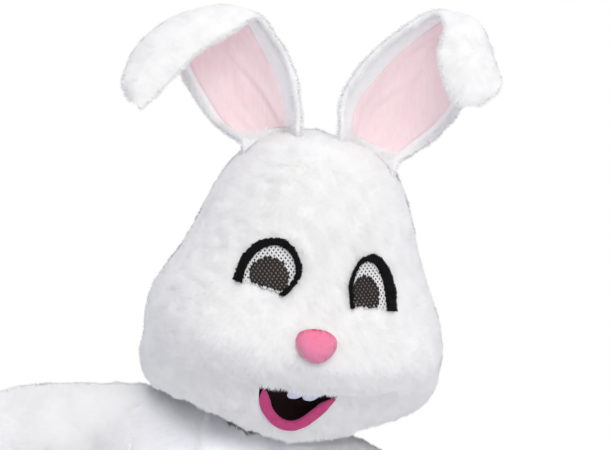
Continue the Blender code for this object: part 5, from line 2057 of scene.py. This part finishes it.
@dataclass
class PlushSuit:
    """The one-piece suit: four long panels and two set-in sleeves, each with its pile.

    Attributes:
        shop: the workshop.
        form: the suit's surface.
        sink: how deep the cloth lies under the pile's tips.
        cloth: thickness of the cloth.
        seam: half the gap between two panels.
    """

    shop: Workshop
    form: SuitForm
    sink: float = 0.0048
    cloth: float = 0.0018
    seam: float = 0.25 * MM

    def comb(self, root: Floats, normal: Floats) -> Floats:
        """The pile runs down the body, out along the sleeves, and over the shoulders."""
        high = ease((root[..., 2] + 0.26) / 0.10)
        right = (ease((-root[..., 0] - 0.10) / 0.06) * high)[..., None]
        left = (ease((root[..., 0] - 0.13) / 0.05) * high)[..., None]
        down = np.array([0.0, 0.0, -0.9]) * (1 - right)
        way = down + np.array([-0.9, 0.0, -0.12]) * right + np.array([0.6, 0.0, 0.0]) * left
        return brushed(way, normal)

    def add(
        self,
        name: str,
        cloth: Cloth,
        cut: Span,
        pile: Pile,
        wanted: Optional[Callable[[Floats], Floats]] = None,
    ) -> None:
        """Args:
            name: node that it replaces.
            cloth: the outer side of the cloth.
            cut: the longest run across and down it.
            pile: its pile.
            wanted: gives how much more of the pile a place gets.
        """
        points, tris = cloth.thickened(self.cloth)
        made = self.shop.piece(name + "_plush", points, tris, "white_plush_cloth")
        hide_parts(name)
        hair = pile.grow(self.shop, name + "_pile", "white_plush_pile", cloth, self.comb, wanted=wanted)
        sides, area = flat_cut(cut[0], cut[1], cloth.area())
        report_cut(made, sides, area)

    def panel(self, side: Side, face: Face) -> None:
        """One long panel from the shoulder to the ankle."""
        form = self.form
        shares = graded(0, 1, 121, ((0.0, 0.12, 1.0), (0.53, 0.06, 1.0)))
        shares = np.sort(np.append(shares, form.armhole))
        columns = np.linspace(0, 1, 35)
        across, share = np.meshgrid(columns, shares)
        outer = form.point(side, face, across, share)
        normals = form.normal(side, face, across, share)
        outer = outer + normals * form.folds(outer)[..., None]
        level = outer[:, 0, 2].copy()
        torso = level > form.crotch + 0.002
        half = form.zip_open(level) if face is Face.BACK else np.full(len(level), 0.2 * MM)
        fade = np.clip(1 - columns / 0.1, 0, 1)
        outer[..., 0] += np.where(torso, side.value * half, 0)[:, None] * fade
        away = np.where(torso & (level > -0.6), 0, face.value * self.seam)
        side_fade = np.clip(1 - (1 - columns) / 0.05, 0, 1)
        outer[..., 1] += away[:, None] * fade + face.value * self.seam * side_fade
        skin = outer + normals * (form.creases(outer) - self.sink)[..., None]
        cloth = Cloth.from_grid(skin, normals)
        name = "suit_%s_%s" % (face.word, side.word)
        many = 34000 if face is Face.FRONT else 26000
        width = 0.0028 if face is Face.FRONT else 0.0033
        pile = Pile(many, 0.0105, width, lift=0.42, seed=100 + side.value + 3 * face.value, fold=0.045)

        def wanted(spots: Floats) -> Floats:
            """Closer pile on the shoulders, which are seen from near."""
            return 1 + 5 * ease((spots[..., 2] + 0.16) / 0.06)

        self.add(name, cloth, cut_of(skin), pile, wanted if face is Face.FRONT else None)

    def armhole(self, side: Side, around: int) -> Floats:
        """The armhole's edge as one ring, from the shoulder forward and round."""
        turn = full_turn(around)
        front = turn <= math.pi
        share = np.where(front, turn / math.pi, 2 - turn / math.pi) * self.form.armhole
        ahead = self.form.point(side, Face.FRONT, np.ones_like(share), share)
        behind = self.form.point(side, Face.BACK, np.ones_like(share), share)
        return np.where(front[:, None], ahead, behind)

    def sleeve(self, side: Side) -> None:
        """A set-in sleeve: rings along the arm's path, which start as the armhole's own shape."""
        count, around = 85, 52
        table = np.array(LEFT_ARM if side is Side.LEFT else RIGHT_ARM, float) * MM
        centres = table[:, :3]
        length = share_along(centres)
        at = np.linspace(0, 1, count) ** 1.15
        middle = curve(length, centres, at)
        up_half = through(length, table[:, 3], at)
        front_half = through(length, table[:, 4], at)
        path = unit(np.gradient(middle, at, axis=0))
        path[0] = np.array([side.value, 0, 0])
        up = unit(np.cross(path, BACK_WAY)) * side.value
        turn = full_turn(around)
        rings = middle[:, None] + up[:, None] * (up_half[:, None] * np.cos(turn))[..., None]
        rings = rings - BACK_WAY * (front_half[:, None] * np.sin(turn))[..., None]
        fade = ease(1 - at / 0.22)[:, None, None]
        rings = rings + (self.armhole(side, around) - rings[0]) * fade
        crease = 3.4 * np.sin(at * 44) * bump(at, 0.62, 0.12) + 3.0 * np.sin(at * 70) * bump(at, 0.9, 0.07)
        away = unit(rings - middle[:, None])
        rings = rings + away * (crease[:, None] * (1 + 0.4 * np.cos(turn + 0.8)) * MM)[..., None]
        near = 1.6 * np.sin(at * 60 + 2.0)[:, None] * bump(at, 0.20, 0.10)[:, None]
        far = 1.2 * np.sin(at * 95 + 1.0)[:, None] * bump(at, 0.75, 0.14)[:, None]
        hem = 1.6 * bump(at, 0.955, 0.006)[:, None]
        small = near * np.clip(-np.cos(turn), 0, 1) + far * np.cos(turn - 0.7) - hem
        soft = waves(rings, 0.09, 95) * 1.2 + waves(rings, 0.045, 96) * 0.5
        wrapped = np.concatenate([rings[:, -1:], rings, rings[:, :1]], axis=1)
        round_way = unit(wrapped[:, 2:] - wrapped[:, :-2])
        along = unit(np.gradient(rings, axis=0))
        normals = unit(np.cross(along, round_way))
        spread = rings - rings.mean(axis=1, keepdims=True)
        normals = normals * np.sign(np.sum(spread * normals, axis=-1, keepdims=True))
        flat = normals[0].copy()
        flat[:, 0] = 0
        normals[0] = unit(flat)
        rings[..., 0] += side.value * 0.5 * MM
        skin = rings + normals * ((small + soft) * MM * ease(at / 0.06)[:, None] - self.sink)[..., None]
        cloth = Cloth.from_grid(skin, normals, wrap=True)
        many = 78000 if side is Side.RIGHT else 30000
        width = 0.0016 if side is Side.RIGHT else 0.0027
        pile = Pile(many, 0.0100, width, lift=0.42, seed=120 + side.value, fold=0.035)

        def wanted(spots: Floats) -> Floats:
            """Closer pile near the shoulder of the raised arm, which is seen from near."""
            return 1 + 2.5 * ease((spots[..., 0] + 0.36) / 0.10)

        more = wanted if side is Side.RIGHT else None
        self.add("sleeve_" + side.word, cloth, cut_of(skin, True), pile, more)

    def build(self) -> None:
        """Builds the panels and the sleeves."""
        for side in (Side.LEFT, Side.RIGHT):
            for face in (Face.FRONT, Face.BACK):
                self.panel(side, face)
            self.sleeve(side)


@dataclass
class BackZip:
    """The centre-back zip: woven tapes with two rows of stitches, and a chain of small teeth.

    Attributes:
        shop: the workshop.
        form: the suit's surface.
        pitch: distance between teeth.
    """

    shop: Workshop
    form: SuitForm
    pitch: float = 0.0026

    def line(self, levels: Floats, sink: float) -> Tuple[Floats, Floats]:
        """Points and outward directions of the centre-back line, sunk under the suit's surface."""
        depth = self.form.zip_line(levels)
        slope = np.gradient(depth, levels)
        normal = unit(np.stack([0 * levels, np.ones_like(levels), -slope], axis=-1))
        spots = np.stack([0 * levels, depth, levels], axis=-1)
        return spots - normal * sink, normal

    def tape(self) -> None:
        """The tapes on both sides of the teeth, as one thin strip with a raised edge cord."""
        form = self.form
        levels = np.linspace(form.zip_top - 0.004, form.zip_end - 0.012, 220)
        spots, normal = self.line(levels, form.wall + 3.6 * MM)
        across = np.linspace(-1, 1, 23)
        cord = 0.45 * bump(np.abs(across), 0.24, 0.08) + 0.2 * bump(np.abs(across), 0.93, 0.05)
        ripple = 0.12 * np.sin(levels * 420)[:, None] * np.abs(across) ** 2
        grid = spots[:, None] + LEFT_WAY * (across * 14 * MM)[None, :, None]
        grid = grid + normal[:, None] * ((cord + ripple) * MM)[..., None]
        cloth = Cloth.from_grid(grid, np.broadcast_to(normal[:, None], grid.shape))
        points, tris = cloth.thickened(0.7 * MM)
        made = self.shop.piece("zip_tape_cloth", points, tris, "white_tape")
        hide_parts("zip_tape")
        stitches = self.stitches()
        sides = (0.03, 0.51)
        area = round(cloth.area(), 5)
        report_cut(made, sides, area)

    @staticmethod
    def repeated(
        shape: Floats, faces: Whole, middle: Floats, across: Floats, out: Floats, down: Floats
    ) -> Shell:
        """Copies of a small closed shape, one at each place.

        Args:
            shape: the shape's points.
            faces: its triangles.
            middle: the places.
            across: direction of the shape's first axis at each place.
            out: direction of its second axis.
            down: direction of its third axis.

        Returns:
            Points and triangles of all copies.
        """
        points = (
            middle[:, None]
            + shape[None, :, 0:1] * across[:, None]
            + shape[None, :, 1:2] * out[:, None]
            + shape[None, :, 2:3] * down[:, None]
        )
        tris = faces[None] + (np.arange(len(middle)) * len(shape))[:, None, None]
        return points.reshape(-1, 3), tris.reshape(-1, 3)

    @staticmethod
    def bead(wide: float, tall: float, long: float) -> Shell:
        """A small closed bead: two six-sided rings and two end points.

        Args:
            wide: half its reach between the end points.
            tall: half its height.
            long: half its length.

        Returns:
            Points and triangles.
        """
        turn = full_turn(6)
        ring = np.stack([0 * turn, tall * np.sin(turn), long * np.cos(turn)], axis=-1)
        inset = np.array([0.6 * wide, 0, 0])
        ends = np.array([[-wide, 0, 0], [wide, 0, 0]])
        shape = np.concatenate([ends[:1], ring - inset, ring + inset, ends[1:]])
        first = np.arange(1, 7)
        after = np.roll(first, -1)
        tris = np.concatenate(
            [
                np.stack([np.zeros(6, int), first, after], -1),
                np.stack([first, first + 6, after + 6], -1),
                np.stack([first, after + 6, after], -1),
                np.stack([np.full(6, 13), after + 6, first + 6], -1),
            ]
        )
        corner = shape[tris]
        if np.sum(np.cross(corner[:, 0], corner[:, 1]) * corner[:, 2]) < 0:
            tris = tris[:, ::-1]
        return shape, tris

    def stitches(self) -> bpy.types.Object:
        """Two rows of machine stitches down each tape."""
        form = self.form
        levels = np.arange(form.zip_top - 0.008, form.zip_end - 0.008, -0.0034)
        spots, normal = self.line(levels, form.wall + 3.35 * MM)
        shape, faces = self.bead(1.3 * MM, 0.22 * MM, 0.22 * MM)
        down = unit(np.cross(normal, LEFT_WAY))
        all_points: List[Floats] = []
        all_tris: List[Whole] = []
        count = 0
        for place in (-12.0, -9.0, 9.0, 12.0):
            middle = spots + LEFT_WAY * (place * MM)
            side = np.broadcast_to(LEFT_WAY, middle.shape)
            points, tris = self.repeated(shape, faces, middle, down, normal, side)
            all_points.append(points)
            all_tris.append(tris + count)
            count += len(points)
        joined = (np.concatenate(all_points), np.concatenate(all_tris))
        made = self.shop.piece("zip_stitches", *joined, "white_tape")
        return made

    def chain(self) -> None:
        """The closed chain: small beads that reach in from both sides by turns."""
        form = self.form
        levels = np.arange(form.zip_top - 0.026, form.zip_end - 0.006, -self.pitch / 2)
        spots, normal = self.line(levels, form.wall + 2.4 * MM)
        shape, faces = self.bead(2.4 * MM, 0.75 * MM, 0.95 * MM)
        sign = np.where(np.arange(len(levels)) % 2 == 0, 1.0, -1.0)
        middle = spots + np.stack([sign * 0.75 * MM, 0 * sign, 0 * sign], axis=-1)
        across = np.broadcast_to(LEFT_WAY, middle.shape)
        down = unit(np.cross(normal, across))
        points, tris = self.repeated(shape, faces, middle, across, normal, down)
        made = self.shop.piece("zip_teeth", points, tris, "white_chain")
        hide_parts("zip_chain")

    def metal(self) -> None:
        """The slider and its tab keep their solids and get the zinc finish."""
        for name in ("zip_slider", "zip_pull"):
            node = frame["nodes"][name]
            node.data.materials.clear()
            node.data.materials.append(self.shop.looks["zinc"])

    def build(self) -> None:
        """Builds the zip."""
        self.tape()
        self.chain()
        self.metal()


HEAD_MIDDLE = (0.039, 0.0, 0.236)


@dataclass(frozen=True)
class Lamp:
    """A soft round light, which the camera doesn't see.

    Attributes:
        name: its name.
        place: where it is.
        size: its diameter.
        power: its power in watts.
        colour: its colour.
        target: what it looks at.
        spread: the angle of its beam, in degrees.
    """

    name: str
    place: Place
    size: float
    power: float
    colour: Colour
    target: Place = HEAD_MIDDLE
    spread: float = 180.0

    def build(self) -> bpy.types.Object:
        """Builds the light and turns it to its target."""
        data = bpy.data.lights.new(self.name, "AREA")
        data.shape = "DISK"
        data.size = self.size
        data.energy = self.power
        data.color = self.colour
        data.spread = math.radians(self.spread)
        made = bpy.data.objects.new(self.name, data)
        made.location = self.place
        made.visible_camera = False
        way = np.array(self.target) - np.array(self.place)
        flat = math.hypot(way[0], way[1])
        made.rotation_euler = (math.pi / 2 + math.atan2(way[2], flat), 0.0, math.atan2(-way[0], way[1]))
        bpy.context.scene.collection.objects.link(made)
        return made


LAMPS = (
    Lamp("key", (0.9, -2.5, 2.3), 2.2, 31.0, (1.0, 0.98, 0.90)),
    Lamp("top_light", (0.2, -0.9, 3.0), 1.6, 10.0, (1.0, 0.98, 0.92)),
    Lamp("right_fill", (2.4, -1.4, 0.9), 1.6, 8.0, (1.0, 0.98, 0.93)),
    Lamp("left_fill", (-2.4, -1.4, 1.3), 1.6, 5.0, (0.98, 0.98, 0.97)),
    Lamp("front_fill", (0.2, -3.4, 0.5), 2.2, 5.0, (1.0, 0.98, 0.92)),
)
NECK_LAMP = Lamp("neck_fill", (-0.3, -2.4, 0.0), 0.2, 0.07, (0.88, 0.9, 1.0), (-0.05, -0.09, -0.05), 9.0)
BACK_LAMP = Lamp("back_light", (-0.6, 2.6, 1.8), 2.0, 16.0, (1.0, 1.0, 1.0))


@dataclass(frozen=True)
class Studio:
    """The pale floor, the soft lights and the camera of the photograph's angle.

    Attributes:
        floor: height of the floor.
        floor_half: half the floor's side.
        target: what the camera looks at.
        distance: how far it stands from there.
        lens: its focal length in mm.
    """

    floor: float = -1.42
    floor_half: float = 8.5
    target: Place = HEAD_MIDDLE
    distance: float = 2.6
    lens: float = 117.0

    def build(self) -> None:
        """Builds the stage."""
        bpy.context.scene.view_settings.view_transform = "Standard"
        self.world()
        self.ground()
        self.lights()
        self.camera()

    def world(self) -> None:
        """A soft cool light from all round, which the camera sees as white."""
        scene = bpy.context.scene
        world = bpy.data.worlds.new("soft_room")
        world.use_nodes = True
        nodes = Nodes(world.node_tree)
        background = world.node_tree.nodes["Background"]
        background.inputs[0].default_value = (0.90, 0.91, 1.0, 1)
        background.inputs[1].default_value = 0.66
        seen = nodes.add("ShaderNodeBackground", {0: (1.0, 1.0, 1.0, 1), 1: 1.0})
        path = nodes.add("ShaderNodeLightPath")
        shaders = {0: path.outputs["Is Camera Ray"], 1: background.outputs[0], 2: seen.outputs[0]}
        mix = nodes.add("ShaderNodeMixShader", shaders)
        nodes.tree.links.new(mix.outputs[0], world.node_tree.nodes["World Output"].inputs[0])
        scene.world = world

    def ground(self) -> None:
        """The pale floor."""
        size = self.floor_half
        corners = np.array([(-size, -size, 0), (size, -size, 0), (size, size, 0), (-size, size, 0)])
        corners = corners + (0, 0, self.floor)
        look, floor_nodes, shader = start_material("pale_floor")
        tone = floor_nodes.noise(floor_nodes.object_place(), 0.7, 3.0)
        colour = floor_nodes.mix(tone, (0.86, 0.86, 0.87, 1), (0.89, 0.89, 0.90, 1))
        floor_nodes.tree.links.new(colour, shader.inputs["Base Color"])
        shader.inputs["Roughness"].default_value = 0.9
        shader.inputs["Emission Color"].default_value = (1.0, 1.0, 1.0, 1)
        shader.inputs["Emission Strength"].default_value = 0.14
        floor = mesh_piece("studio_floor", corners, np.array([[0, 1, 2], [0, 2, 3]]), look, smooth=False)

    def lights(self) -> None:
        """The lamps, of which the neck's reaches only the suit's plush and pile."""
        for lamp in LAMPS:
            lamp.build()
        neck = NECK_LAMP.build()
        lit = bpy.data.collections.new("lit_by_neck_fill")
        for made in bpy.data.objects:
            if made.name.startswith(("suit_", "sleeve_")) and made.name.endswith(("_plush", "_pile")):
                lit.objects.link(made)
        neck.light_linking.receiver_collection = lit
        BACK_LAMP.build()

    def camera(self) -> None:
        """A long lens level with the head."""
        data = bpy.data.cameras.new("photo_camera")
        data.sensor_width = 36.0
        data.lens = self.lens
        data.clip_end = 60.0
        camera = bpy.data.objects.new("photo_camera", data)
        camera.location = (self.target[0], self.target[1] - self.distance, self.target[2])
        camera.rotation_euler = (math.pi / 2, 0.0, 0.0)
        bpy.context.scene.collection.objects.link(camera)
        bpy.context.scene.camera = camera


def main() -> None:
    """Builds the studio and each part of the costume in order, and reports them."""
    logging.basicConfig(level=logging.INFO, format="%(name)s %(message)s")
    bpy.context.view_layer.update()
    shop = Workshop(all_looks())
    head = HeadForm()
    suit = SuitForm()
    for part in (
        PlushHead(shop, head),
        MeshEyes(shop, head),
        NoseAndMouth(shop, head),
        LinedEars(shop, head),
        PlushSuit(shop, suit),
        BackZip(shop, suit),
    ):
        part.build()
    Studio().build()
    log.info("all new pieces: %d triangles", shop.triangles)


if __name__ == "__main__":
    main()
